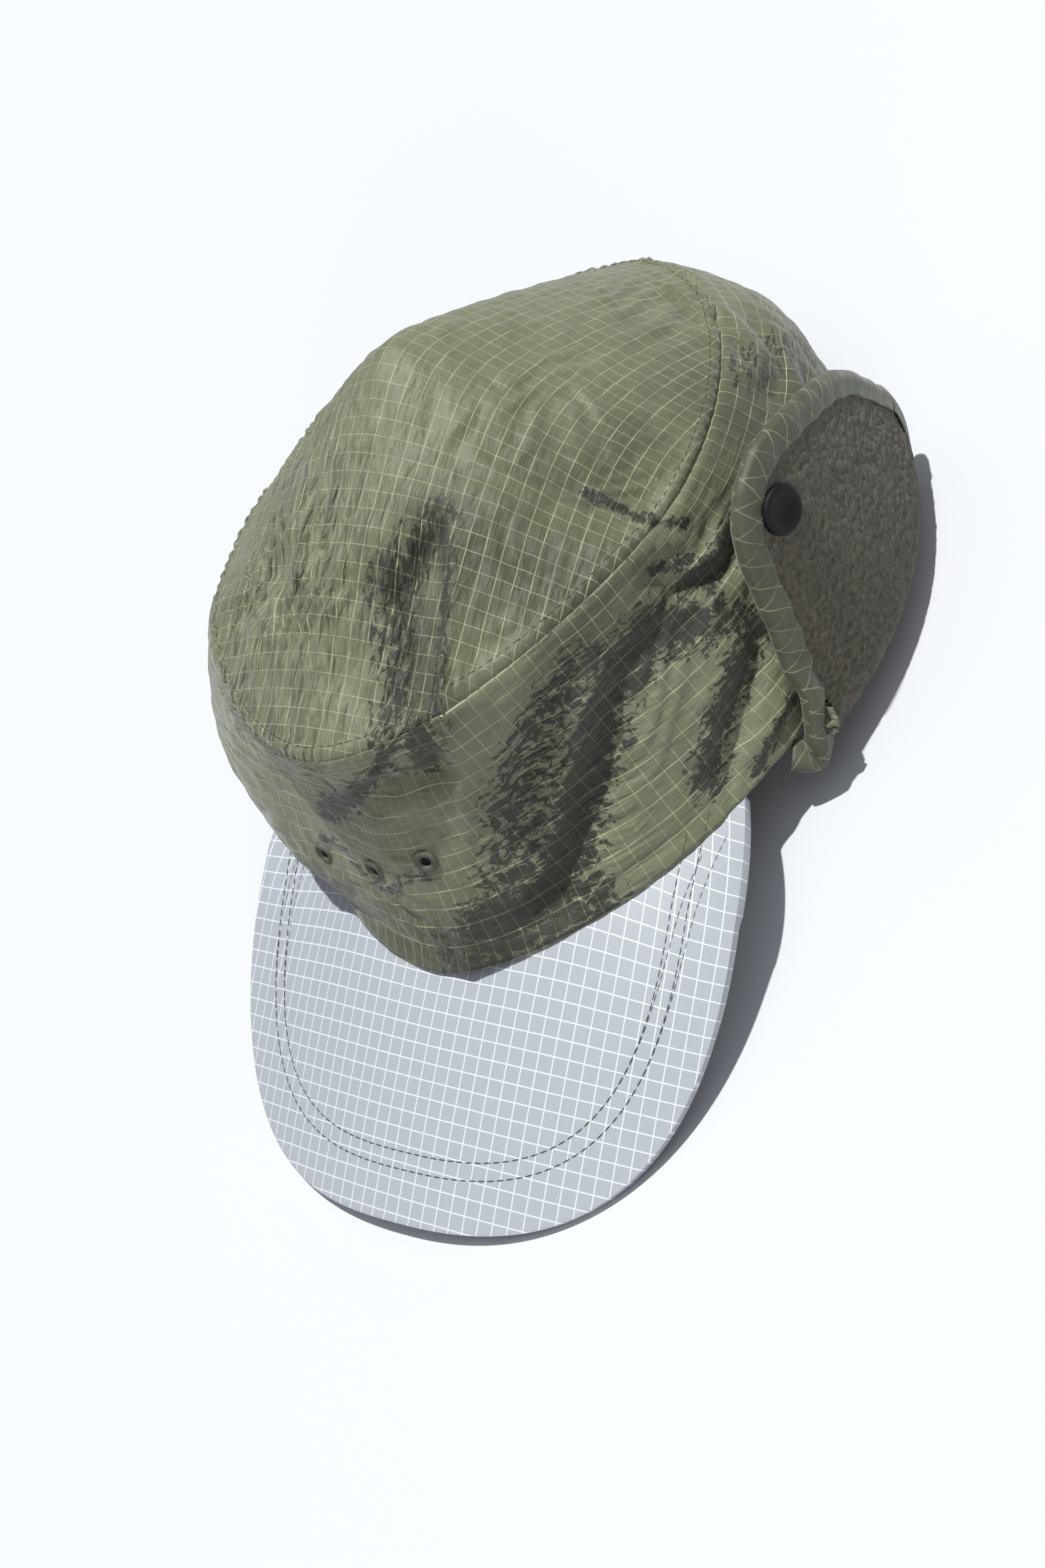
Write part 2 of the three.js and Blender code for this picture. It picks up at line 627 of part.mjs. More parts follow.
function makeFlapLayer(flap, grid, depth, thickness) {
  const face = backOf(grid, flap.side * depth);
  return wallGeometry(face, backOf(grid, flap.side * (depth + thickness)), false, grid);
}

// Rolled edge: a round roll just past the free edge of both layers, up the front end of the flap,
// over its top and down its back end
function makeBinding(flap, grid) {
  const middle = backOf(grid, (flap.side * FLAP_STACK) / 2);
  const normals = gridNormals(middle);
  const lastRow = grid.length - 1;
  const lastColumn = grid[0].length - 1;
  const edge = [
    ...BINDING_FRONT_ROWS.map((i) => [i, 0]),
    ...range(lastColumn).map((j) => [lastRow, j + 1]),
    ...BINDING_BACK_ROWS.map((i) => [i, lastColumn]),
  ];
  const away = edge.map(([i, j], k) => {
    const [before, after] = [edge[Math.max(k - 1, 0)], edge[Math.min(k + 1, edge.length - 1)]];
    const along = middle[after[0]][after[1]].clone().sub(middle[before[0]][before[1]]);
    const out = normals[i][j].clone().cross(along).normalize();
    return middle[i][j].clone().addScaledVector(out, BINDING_RADIUS + BINDING_GAP);
  });
  const path = new THREE.CatmullRomCurve3(away, false, 'centripetal');
  const outline = range(BINDING_SIDES).map((i) => {
    const angle = (2 * Math.PI * i) / BINDING_SIDES;
    return new THREE.Vector2(BINDING_RADIUS * Math.cos(angle), BINDING_RADIUS * Math.sin(angle));
  });
  return closed(new THREE.ExtrudeGeometry(new THREE.Shape(outline), {
    steps: BINDING_STEPS,
    bevelEnabled: false,
    extrudePath: path,
  }));
}

function makeSnap(flap) {
  const { along } = SNAP;
  const up = SNAP.up * flap.tallness;
  const alongStep = flapPoint(flap, along + 1, up).sub(flapPoint(flap, along - 1, up));
  const upStep = flapPoint(flap, along, up + 1).sub(flapPoint(flap, along, up - 1));
  const normal = alongStep.cross(upStep).normalize().multiplyScalar(flap.side);
  const outline = [
    new THREE.Vector2(0, 0),
    new THREE.Vector2(SNAP_RADIUS, 0),
    new THREE.Vector2(SNAP_RADIUS, SNAP_HEIGHT - SNAP_ROUNDING),
    new THREE.Vector2(SNAP_RADIUS - SNAP_ROUNDING, SNAP_HEIGHT),
    new THREE.Vector2(0, SNAP_HEIGHT),
  ];
  const disc = new THREE.LatheGeometry(outline, SNAP_SIDES);
  return closed(disc.applyMatrix4(standingOn(flapPoint(flap, along, up), normal, GAP)));
}

function eyeletFrame(eyelet, lift) {
  const angle = radians(eyelet.angle);
  return standingOn(crownPoint(angle, eyelet.level), clothNormal(angle, eyelet.level), lift);
}

function makeEyelet(eyelet) {
  const inset = (EYELET_OUTER_RADIUS - EYELET_HOLE_RADIUS) * EYELET_ROUNDING;
  const outline = [
    new THREE.Vector2(EYELET_HOLE_RADIUS, 0),
    new THREE.Vector2(EYELET_OUTER_RADIUS, 0),
    new THREE.Vector2(EYELET_OUTER_RADIUS, EYELET_HEIGHT / 2),
    new THREE.Vector2(EYELET_OUTER_RADIUS - inset, EYELET_HEIGHT),
    new THREE.Vector2(EYELET_HOLE_RADIUS + inset, EYELET_HEIGHT),
    new THREE.Vector2(EYELET_HOLE_RADIUS, EYELET_HEIGHT / 2),
    new THREE.Vector2(EYELET_HOLE_RADIUS, 0),
  ];
  const ring = new THREE.LatheGeometry(outline, EYELET_SIDES);
  return closed(ring.applyMatrix4(eyeletFrame(eyelet, GAP)));
}

const materials = {
  ripstop: new THREE.MeshStandardMaterial({ color: 0x6f7350, roughness: 0.42, metalness: 0 }),
  peakCloth: new THREE.MeshStandardMaterial({ color: 0xb4b7bb, roughness: 0.6, metalness: 0 }),
  fleece: new THREE.MeshStandardMaterial({ color: 0x78705f, roughness: 0.95, metalness: 0 }),
  thread: new THREE.MeshStandardMaterial({ color: 0x5d584b, roughness: 0.8, metalness: 0 }),
  snap: new THREE.MeshStandardMaterial({ color: 0x17171a, roughness: 0.5, metalness: 0 }),
};

const hat = new THREE.Group();

function add(name, geometry, material) {
  const mesh = new THREE.Mesh(geometry, material);
  mesh.name = name;
  hat.add(mesh);
}

add('side_band', makeSideBand(), materials.ripstop);
add('top_panel', makeTopPanel(), materials.ripstop);
add('peak', makePeak(), materials.peakCloth);
for (const eyelet of EYELETS) {
  add(eyelet.name, makeEyelet(eyelet), materials.thread);
}
for (const flap of FLAP_SIDES) {
  const grid = flapGrid(flap);
  add(`${flap.name}_flap_fleece`, makeFlapLayer(flap, grid, 0, FLEECE), materials.fleece);
  add(`${flap.name}_flap_cloth`, makeFlapLayer(flap, grid, FLEECE + GAP, FLAP_CLOTH), materials.ripstop);
  add(`${flap.name}_flap_binding`, makeBinding(flap, grid), materials.ripstop);
  add(`${flap.name}_snap`, makeSnap(flap), materials.snap);
}

// Tip the level hat back onto its peak and rim, with its box centred over the origin
hat.rotation.x = -radians(REST_TIP);
hat.position.set(CENTRE_SHIFT.x, CENTRE_SHIFT.y, REST_LIFT);

const group = new THREE.Group();
group.add(hat);

export default group;
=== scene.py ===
# %% [markdown]
# # An earflap hat in ripstop cloth
# The real hat is sewn from a few pieces of thin, slightly shiny ripstop: a band round the head, a
# top panel set into it, and a curved peak with a stiff board inside. Two ear flaps, faced with
# fleece and bound with a roll of the same ripstop, are folded up against the outside of the band.
# A imported model gives the places and sizes of all of them, and this lesson dresses each one.
# We start by loading that model.

# %% Start from the imported model
import math

import bmesh
import bpy
import numpy as np
from mathutils import Matrix, Vector, noise


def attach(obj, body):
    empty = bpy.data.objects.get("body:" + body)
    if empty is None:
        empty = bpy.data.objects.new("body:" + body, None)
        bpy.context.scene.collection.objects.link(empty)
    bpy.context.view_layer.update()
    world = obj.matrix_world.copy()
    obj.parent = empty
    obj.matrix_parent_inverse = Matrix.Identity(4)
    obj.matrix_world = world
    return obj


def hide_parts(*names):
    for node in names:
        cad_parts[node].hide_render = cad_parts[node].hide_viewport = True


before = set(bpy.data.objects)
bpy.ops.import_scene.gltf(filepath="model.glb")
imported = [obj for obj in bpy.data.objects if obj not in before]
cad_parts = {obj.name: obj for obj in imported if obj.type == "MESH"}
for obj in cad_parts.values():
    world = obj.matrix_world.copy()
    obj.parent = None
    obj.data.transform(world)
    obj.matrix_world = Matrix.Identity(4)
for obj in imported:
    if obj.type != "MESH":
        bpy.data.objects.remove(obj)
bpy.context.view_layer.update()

# %% [markdown]
# ## Millimetres, and the way the hat rests
# Cloth is easiest to think about in millimetres with the rim of the hat level, as it is worn. The
# finished hat tips back until its peak and the back of its rim touch the floor. One matrix does
# both jobs, so every piece is shaped level and placed at rest.

# %% Units and the rest pose
MM = 0.001
REST_TIP = math.radians(9.44)
REST_LIFT = 15.59
CENTRE_SHIFT = (2.31, 23.07)
FLOOR_GAP = 0.02

TIPPED = Matrix.Rotation(-REST_TIP, 4, "X")
LIFTED = Matrix.Translation(Vector((*CENTRE_SHIFT, REST_LIFT)) * MM)
AT_REST = LIFTED @ TIPPED @ Matrix.Scale(MM, 4)
print("the rim is tipped back by", round(math.degrees(REST_TIP), 2), "degrees")

# %% [markdown]
# ## The camera
# The photograph looks down on the hat from its front left, with the camera rolled to one side. The
# camera's place and its three directions were worked out once with the rim level, from the hat's
# outlines, and are turned with the hat here. A long lens keeps the perspective gentle.

# %% Place the camera
CAMERA_PLACE = Vector((571.86, -360.06, 540.98))
CAMERA_RIGHT = Vector((0.73317, 0.44843, -0.51125))
CAMERA_UP = Vector((-0.09408, 0.81144, 0.57682))
CAMERA_BACK = Vector((0.67351, -0.3748, 0.63711))
LENS = 69.743
SENSOR_HEIGHT = 36.0

camera_data = bpy.data.cameras.new("camera")
camera_data.sensor_fit = "VERTICAL"
camera_data.sensor_height = SENSOR_HEIGHT
camera_data.lens = LENS
camera = bpy.data.objects.new("camera", camera_data)
bpy.context.collection.objects.link(camera)
turned = Matrix((CAMERA_RIGHT, CAMERA_UP, CAMERA_BACK)).transposed().to_4x4()
camera.matrix_world = Matrix.Translation(AT_REST @ CAMERA_PLACE) @ TIPPED @ turned
bpy.context.scene.camera = camera
print("camera at", [round(v, 3) for v in camera.location])

# %% [markdown]
# ## Building material nodes
# Every finish below is a small graph of nodes. Short helpers keep a graph readable: most of them
# make one node and fill its inputs, either with a plain value or with another node's output. The
# last two start a new material, and stack bumps: heights, each with a strength and a depth.

# %% Helpers for nodes
MIX_COLOUR_INPUTS = (0, 6, 7)
MIX_COLOUR_OUTPUT = 2


def add_node(tree, kind, inputs=None, **options):
    made = tree.nodes.new("ShaderNode" + kind)
    for option, value in options.items():
        setattr(made, option, value)
    for name, value in (inputs or {}).items():
        if isinstance(value, bpy.types.NodeSocket):
            tree.links.new(value, made.inputs[name])
        else:
            made.inputs[name].default_value = value
    return made


def maths(tree, operation, first, second=0.0, third=0.0):
    return add_node(tree, "Math", {0: first, 1: second, 2: third}, operation=operation).outputs[0]


def blend_colours(tree, amount, first, second):
    colours = [(*value, 1.0) if isinstance(value, tuple) else value for value in (first, second)]
    inputs = dict(zip(MIX_COLOUR_INPUTS, (amount, *colours)))
    return add_node(tree, "Mix", inputs, data_type="RGBA").outputs[MIX_COLOUR_OUTPUT]


def smooth_step(tree, value, low, high, start=0.0, end=1.0):
    inputs = {"Value": value, "From Min": low, "From Max": high, "To Min": start, "To Max": end}
    return add_node(tree, "MapRange", inputs, interpolation_type="SMOOTHSTEP").outputs[0]


def cloth_noise(tree, place, scale, detail=4.0, roughness=0.55, distortion=0.0):
    inputs = dict(Vector=place, Scale=scale, Detail=detail, Roughness=roughness, Distortion=distortion)
    return add_node(tree, "TexNoise", inputs).outputs["Fac"]


def new_finish(name, roughness, **shader_values):
    material = bpy.data.materials.new(name)
    material.use_nodes = True
    shader = material.node_tree.nodes["Principled BSDF"]
    shader.inputs["Roughness"].default_value = roughness
    for socket, value in shader_values.items():
        shader.inputs[socket.replace("_", " ")].default_value = value
    return material, material.node_tree, shader


def add_bumps(tree, shader, bumps):
    below = {}
    for height, strength, depth in bumps:
        inputs = {"Height": height, "Strength": strength, "Distance": depth * MM, **below}
        below = {"Normal": add_node(tree, "Bump", inputs).outputs[0]}
    tree.links.new(below["Normal"], shader.inputs["Normal"])


# %% [markdown]
# ## Ripstop
# Ripstop is a plain weave with thicker, lighter threads every few millimetres, which stop a tear
# from running. An image could hold that pattern, but a node graph on the cloth's own UV map,
# measured in metres, stays sharp at any distance and follows every fold. The cloth is so thin that
# it crackles into tiny facets and crinkles into streaks. Where it turns away from the light the
# finish paints shade into its colour: a deep shade with flaky edges in the folds, and a soft one
# on slopes, on the turned-under hem and on one flank of the crinkles. The amounts differ from
# place to place, so the finish reads them from attributes of the mesh.

# %% The woven grid, the crackle and the painted shade
GRID_CELL = 4.85 * MM
GRID_THREAD = 0.085 * MM
THREAD_EDGE = 1.9
WARP_SHARE = 0.7
THREAD_FADING = (0.35, 0.62, 0.45, 1.0)
# THREADS_LOST is how much the light threads fade where shade is painted in the folds.
THREADS_LOST = 0.65
MOTTLING = (0.3, 0.7)
# The streak contrast turns crinkle streaks into painted shade on one flank; the flake contrast, flakiness and
# shade edge give the painted shade in folds its flaky edge.
STREAK_CONTRAST = (0.5, 0.62, 0.0, 0.7)
FLAKE_CONTRAST = (0.36, 0.62)
FLAKINESS = 0.75
FLAKES_EVERYWHERE = 0.25
FOLD_SHADE_EDGE = (0.86, 0.98)
FLAKE_STRETCH = (1.0, 2.4, 1.0)
STREAK_STRETCH = (1.0, 4.5, 1.0)
FLAKES = {"scale": 260.0, "detail": 5.0, "roughness": 0.65, "distortion": 0.8}
STREAKS = {"scale": 85.0, "detail": 2.0, "roughness": 0.5, "distortion": 0.4}
GRAIN = {"scale": 2600.0, "detail": 2.0}
FADING = {"scale": 90.0}
PATCHES = {"scale": 38.0, "detail": 5.0}
RIPSTOP_BUMPS = {"crinkles": (1.0, 4.5), "crackle": (0.8, 1.0), "threads": (0.7, 0.16), "grain": (0.6, 0.16)}
# Amounts read from the mesh: painted shade in folds with its crackle bump, crinkles with painted shade on one
# flank, and a soft painted shade.
WEAR_AND_SHADE_NAMES = ("fold_shade_and_crackle", "crinkles_and_their_shade", "painted_soft_shade")
# Colours of painted shade: first the soft shade, then the deep shade in folds.
PAINTED_SOFT_SHADE_COLOUR = (0.062, 0.066, 0.031)
PAINTED_FOLD_SHADE_COLOUR = (0.024, 0.028, 0.015)
RIPSTOP_GLOSS = {
    "roughness": 0.55,
    "Specular_IOR_Level": 0.5,
    "Sheen_Weight": 0.2,
    "Sheen_Roughness": 0.45,
    "Sheen_Tint": (0.95, 0.97, 0.95, 1.0),
}


def grid_threads(tree, cloth, cell, thread):
    """How far each way of the weave is a thick thread here, 0 or 1, across and along the cloth."""
    parts = add_node(tree, "SeparateXYZ", {"Vector": cloth})
    away = [maths(tree, "PINGPONG", parts.outputs[axis], cell / 2) for axis in (0, 1)]
    return [smooth_step(tree, value, thread, thread * THREAD_EDGE, 1.0, 0.0) for value in away]


def stretched(tree, place, amounts):
    return add_node(tree, "VectorMath", {0: place, 1: amounts}, operation="MULTIPLY").outputs[0]


def make_ripstop(name, ground, shade, thread):
    material, tree, shader = new_finish(name, **RIPSTOP_GLOSS)
    cloth = add_node(tree, "UVMap", uv_map="UVMap").outputs[0]
    attributes = [add_node(tree, "Attribute", attribute_name=wear_and_shade) for wear_and_shade in WEAR_AND_SHADE_NAMES]
    fold_shade_and_crackle, crinkles_and_their_shade, painted_soft_shade = (attribute.outputs["Fac"] for attribute in attributes)
    flakes = cloth_noise(tree, stretched(tree, cloth, FLAKE_STRETCH), **FLAKES)
    streaks = cloth_noise(tree, stretched(tree, cloth, STREAK_STRETCH), **STREAKS)
    grain = cloth_noise(tree, cloth, **GRAIN)

    patches = smooth_step(tree, cloth_noise(tree, cloth, **PATCHES), *MOTTLING)
    # Painted shade: a soft darker olive on one flank of the crinkle streaks, on slopes and the turned-under
    # hem, laid over random mottling of the ground colour.
    painted_streak_shade = maths(tree, "MULTIPLY", smooth_step(tree, streaks, *STREAK_CONTRAST), crinkles_and_their_shade)
    soft_shade_in_all = maths(tree, "MAXIMUM", painted_soft_shade, painted_streak_shade)
    mottled_and_shaded = blend_colours(tree, soft_shade_in_all, blend_colours(tree, patches, ground, shade), PAINTED_SOFT_SHADE_COLOUR)
    # Painted shade in the folds, dark with flaky edges; the light threads fade in it too.
    flaky = maths(tree, "MULTIPLY_ADD", smooth_step(tree, flakes, *FLAKE_CONTRAST), FLAKINESS, fold_shade_and_crackle)
    in_shade = smooth_step(tree, flaky, *FOLD_SHADE_EDGE)
    darkened = blend_colours(tree, in_shade, mottled_and_shaded, PAINTED_FOLD_SHADE_COLOUR)

    across, along = grid_threads(tree, cloth, GRID_CELL, GRID_THREAD)
    threads = maths(tree, "MAXIMUM", maths(tree, "MULTIPLY", across, WARP_SHARE), along)
    faded = smooth_step(tree, cloth_noise(tree, cloth, **FADING), *THREAD_FADING)
    lit = maths(tree, "MULTIPLY_ADD", in_shade, -THREADS_LOST, 1.0)
    shown = maths(tree, "MULTIPLY", maths(tree, "MULTIPLY", threads, faded), lit)
    tree.links.new(blend_colours(tree, shown, darkened, thread), shader.inputs["Base Color"])

    crackle = maths(tree, "MULTIPLY", flakes, maths(tree, "ADD", fold_shade_and_crackle, FLAKES_EVERYWHERE))
    crinkles = maths(tree, "MULTIPLY", streaks, crinkles_and_their_shade)
    heights = {"crinkles": crinkles, "crackle": crackle, "threads": threads, "grain": grain}
    add_bumps(tree, shader, [(heights[bump], *sizes) for bump, sizes in RIPSTOP_BUMPS.items()])
    return material


olive_ripstop = make_ripstop(
    "olive ripstop", ground=(0.165, 0.173, 0.1), shade=(0.138, 0.146, 0.08), thread=(0.42, 0.44, 0.25)
)
# A darker copy of the olive ripstop for the roll; its darkness is painted shade.
shaded_rolled_ripstop = make_ripstop(
    "rolled ripstop in painted shade", ground=(0.072, 0.077, 0.041), shade=(0.056, 0.06, 0.032), thread=(0.26, 0.28, 0.155)
)
print("ripstop grid of", round(GRID_CELL / MM, 2), "mm")

# %% [markdown]
# ## Peak cloth
# The peak is covered in a smoother silver-grey cloth with a fine white grid. It is stretched over
# a board, so it has no crackle, only a faint weave and a soft mottling.

# %% Peak cloth
PEAK_CELL = 4.65 * MM
PEAK_THREAD = 0.12 * MM
PEAK_GRAIN = {"scale": 1500.0, "detail": 3.0}
PEAK_GRAIN_SHARE = 0.5
PEAK_GROUND = ((0.32, 0.34, 0.365), (0.39, 0.41, 0.44))
PEAK_LINES = (0.64, 0.67, 0.71)
PEAK_GLOSS = {"roughness": 0.5, "Specular_IOR_Level": 0.45, "Sheen_Weight": 0.1}
PEAK_BUMP = (0.3, 0.12)


def make_peak_cloth():
    material, tree, shader = new_finish("peak cloth", **PEAK_GLOSS)
    cloth = add_node(tree, "UVMap", uv_map="UVMap").outputs[0]
    threads = maths(tree, "MAXIMUM", *grid_threads(tree, cloth, PEAK_CELL, PEAK_THREAD))
    grain = cloth_noise(tree, cloth, **PEAK_GRAIN)
    colour = blend_colours(tree, threads, blend_colours(tree, grain, *PEAK_GROUND), PEAK_LINES)
    tree.links.new(colour, shader.inputs["Base Color"])
    raised = maths(tree, "MULTIPLY_ADD", grain, PEAK_GRAIN_SHARE, threads)
    add_bumps(tree, shader, [(raised, *PEAK_BUMP)])
    return material


peak_cloth = make_peak_cloth()
print("peak grid of", round(PEAK_CELL / MM, 2), "mm")

# %% [markdown]
# ## Fleece, thread and the snap
# Fleece is matt and cloudy, thread is a dark twisted strand, and the snap is a plain moulded
# disc. They are simple finishes, so a little noise in the colour and the bump is enough.

# %% Small finishes
SPECKLE = {"detail": 6.0, "roughness": 0.65}
SPECKLE_STRENGTH = 0.9


def make_speckled(name, dark, light, scale, roughness, depth, **shader_values):
    material, tree, shader = new_finish(name, roughness, **shader_values)
    place = add_node(tree, "TexCoord").outputs["Object"]
    speckle = cloth_noise(tree, place, scale, **SPECKLE)
    colour = blend_colours(tree, smooth_step(tree, speckle, *MOTTLING), dark, light)
    tree.links.new(colour, shader.inputs["Base Color"])
    add_bumps(tree, shader, [(speckle, SPECKLE_STRENGTH, depth)])
    return material


fleece_pile = make_speckled(
    "fleece pile",
    (0.056, 0.05, 0.034),
    (0.124, 0.112, 0.08),
    scale=620.0,
    roughness=0.95,
    depth=1.1,
    Specular_IOR_Level=0.15,
    Sheen_Weight=0.2,
)
dark_thread = make_speckled(
    "dark thread", (0.035, 0.04, 0.023), (0.065, 0.07, 0.042), scale=2500.0, roughness=0.7, depth=0.1
)
taupe_thread = make_speckled(
    "taupe thread", (0.075, 0.068, 0.05), (0.15, 0.135, 0.105), scale=1800.0, roughness=0.65, depth=0.1
)
snap_plastic = make_speckled(
    "snap plastic",
    (0.006, 0.006, 0.007),
    (0.011, 0.011, 0.012),
    scale=900.0,
    roughness=0.6,
    depth=0.03,
    Specular_IOR_Level=0.2,
)
small_finishes = (fleece_pile, dark_thread, taupe_thread, snap_plastic)
print("small finishes:", ", ".join(finish.name for finish in small_finishes))

# %% [markdown]
# ## From a flat grid to a piece of cloth
# A sheet of cloth is a grid in two directions. Blender's grid operator makes the vertices and
# faces, and a shaping function then says where each place on the flat grid goes, in millimetres,
# how far along the cloth it is, for the UV map, and how worn it is there and how much shade is
# painted on it there. All the cloth pieces are made this way, with a different shaping function
# each. A Solidify modifier gives the thickness.

# %% Helpers that turn grids into pieces
JOIN = 0.004


def new_piece(bm, name):
    bmesh.ops.transform(bm, matrix=AT_REST, verts=bm.verts)
    mesh = bpy.data.meshes.new(name)
    bm.to_mesh(mesh)
    bm.free()
    mesh.polygons.foreach_set("use_smooth", [True] * len(mesh.polygons))
    piece = bpy.data.objects.new(name, mesh)
    bpy.context.collection.objects.link(piece)
    return piece


def shaped_grid(columns, rows, shape, outward_from=None):
    bm = bmesh.new()
    uv_map = bm.loops.layers.uv.new("UVMap")
    bmesh.ops.create_grid(bm, x_segments=columns, y_segments=rows, size=0.5)
    flat = np.array([vert.co.xy for vert in bm.verts]) + 0.5
    places, cloth, wear_and_shade = shape(flat[:, 0], flat[:, 1])
    cloth = cloth * MM
    for face in bm.faces:
        for loop in face.loops:
            loop[uv_map].uv = cloth[loop.vert.index]
    for vert, place in zip(bm.verts, places):
        vert.co = place
    for name, amounts in wear_and_shade.items():
        layer = bm.verts.layers.float.new(name)
        for vert, amount in zip(bm.verts, amounts):
            vert[layer] = amount
    bmesh.ops.remove_doubles(bm, verts=bm.verts, dist=JOIN)
    bm.normal_update()
    if outward_from is not None:
        facing = sum(face.normal.dot(face.calc_center_median() - outward_from) for face in bm.faces)
        if facing < 0:
            bmesh.ops.reverse_faces(bm, faces=bm.faces)
    return bm


def thicken(piece, thickness):
    solidify = piece.modifiers.new("thickness", "SOLIDIFY")
    solidify.thickness = thickness * MM
    solidify.offset = -1.0
    solidify.use_even_offset = False
    return piece


def dress(piece, material, slot, *nodes):
    piece.data.materials.append(material)
    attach(piece, "root")
    if nodes:
        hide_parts(*nodes)
    print(piece.name, "has", len(piece.data.polygons), "faces")
    return piece


# %% [markdown]
# ## The crown's main form
# The crown is the band and the top panel together. Its rim and the seam between band and top are
# two ovals, the band bulges a little between them, and the top panel is a low, lopsided cone. A
# place on it is an angle round the head, counted from the front towards the wearer's left, and a
# level: 0 at the rim, 1 at the seam and 2 at the top. Working with whole arrays of places at
# once keeps this quick.

# %% Rim, seam and the smooth crown
RIM = {"half_width": 84.8, "half_length": 101.8, "roundness": 2.15, "pointed_front": 0.3, "front_fade": 3}
RIM_FRONT_DROP = {"depth": 4.3, "spread": 28.0}
SEAM_HALF_WIDTH = {"left": 66.7, "right": 79.8}
SEAM_HALF_LENGTH = {"front": 91.9, "back": 98.0}
SEAM_SHIFT_BACK = 5.2
SEAM_ROUNDNESS = 1.74
SEAM_HEIGHT = 65.5
SEAM_RISE = {"front": 9.1, "ends": -1.5, "corners": -0.8, "left": -2.0}
FULLNESS = {"all": 3.2, "front": -13.7, "ends": -1.7, "left": -1.8, "skew": 2.5}
FULLNESS_LOWNESS = 0.8
SLUMP = {"depth": 24.4, "angle": -56.0, "spread": 24.0}
CROWN_HEIGHT = 118.6
CROWN_APEX_BACK = 14.6
CROWN_SLOPE_POWER = 1.07
CROWN_APEX_ROUNDING = 0.06


def bell(distance, spread):
    return np.exp(-((distance / spread) ** 2))


def oval(angle, half_width, half_length, roundness):
    power = 2.0 / roundness
    s, c = np.sin(angle), np.cos(angle)
    x = half_width * np.sign(s) * np.abs(s) ** power
    y = -half_length * np.sign(c) * np.abs(c) ** power
    return np.stack([x, y, np.zeros_like(x)], axis=-1)


def rim_points(angle):
    frontness = np.clip(RIM["front_fade"] * np.cos(angle), 0, 1)
    roundness = RIM["roundness"] - RIM["pointed_front"] * frontness
    points = oval(angle, RIM["half_width"], RIM["half_length"], roundness)
    points[:, 2] = -RIM_FRONT_DROP["depth"] * bell(np.degrees(angle), RIM_FRONT_DROP["spread"])
    return points


def seam_points(angle):
    s, c = np.sin(angle), np.cos(angle)
    half_width = np.where(s > 0, SEAM_HALF_WIDTH["left"], SEAM_HALF_WIDTH["right"])
    half_length = np.where(c > 0, SEAM_HALF_LENGTH["front"], SEAM_HALF_LENGTH["back"])
    points = oval(angle, half_width, half_length, SEAM_ROUNDNESS)
    points[:, 1] += SEAM_SHIFT_BACK
    waves = SEAM_RISE["ends"] * np.cos(2 * angle) + SEAM_RISE["corners"] * np.cos(3 * angle)
    points[:, 2] = SEAM_HEIGHT + SEAM_RISE["front"] * c + SEAM_RISE["left"] * s + waves
    return points


def band_fullness(angle, level):
    s, c = np.sin(angle), np.cos(angle)
    slump = SLUMP["depth"] * bell(np.degrees(angle) - SLUMP["angle"], SLUMP["spread"])
    around = FULLNESS["all"] + FULLNESS["front"] * c + FULLNESS["left"] * s
    uneven = FULLNESS["ends"] * np.cos(2 * angle) + FULLNESS["skew"] * np.sin(2 * angle)
    return (around + uneven + slump) * np.sin(np.pi * level**FULLNESS_LOWNESS)


def smooth_crown(angle, level):
    rim, seam = rim_points(angle), seam_points(angle)
    low = np.clip(level, 0, 1)
    band = rim + (seam - rim) * low[:, None]
    full = band_fullness(angle, low)
    band[:, 0] += np.sin(angle) * full
    band[:, 1] -= np.cos(angle) * full
    spread = np.clip(2 - level, 0, 1)
    rounded = np.hypot(spread, CROWN_APEX_ROUNDING) - CROWN_APEX_ROUNDING
    whole = math.hypot(1, CROWN_APEX_ROUNDING) - CROWN_APEX_ROUNDING
    rise = 1 - (rounded / whole) ** CROWN_SLOPE_POWER
    top = seam * spread[:, None]
    top[:, 1] = seam[:, 1] * spread + CROWN_APEX_BACK * (1 - spread)
    top[:, 2] = seam[:, 2] + (CROWN_HEIGHT - seam[:, 2]) * rise
    return np.where((level <= 1)[:, None], band, top)


print("head opening:", 2 * RIM["half_width"], "by", 2 * RIM["half_length"], "mm")

# %% Which way the crown's cloth faces
NORMAL_STEP = 0.02
TINY = 1e-6


def unit(vectors):
    lengths = np.linalg.norm(vectors, axis=-1, keepdims=True)
    return np.where(lengths > TINY, vectors / np.maximum(lengths, TINY), (0.0, 0.0, 1.0))


def crown_normals(surface, angle, level):
    above = surface(angle, np.minimum(level + NORMAL_STEP, 2))
    below = surface(angle, np.maximum(level - NORMAL_STEP, 0))
    ahead, behind = surface(angle + NORMAL_STEP, level), surface(angle - NORMAL_STEP, level)
    return unit(np.cross(ahead - behind, above - below))


def spot_on(surface, place):
    """The point of a place given in degrees and level, and the way that the cloth faces there."""
    angle, level = np.array([math.radians(place[0])]), np.array([float(place[1])])
    return surface(angle, level)[0], crown_normals(surface, angle, level)[0]


# %% [markdown]
# ## Folds and dents
# The hat has been worn, so its cloth is pressed and dented. Each main fold runs through a few
# places on the crown and has a width and a height; rows with the same name make one fold. These
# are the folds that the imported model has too. The pressed crease is sharp, as on trousers.

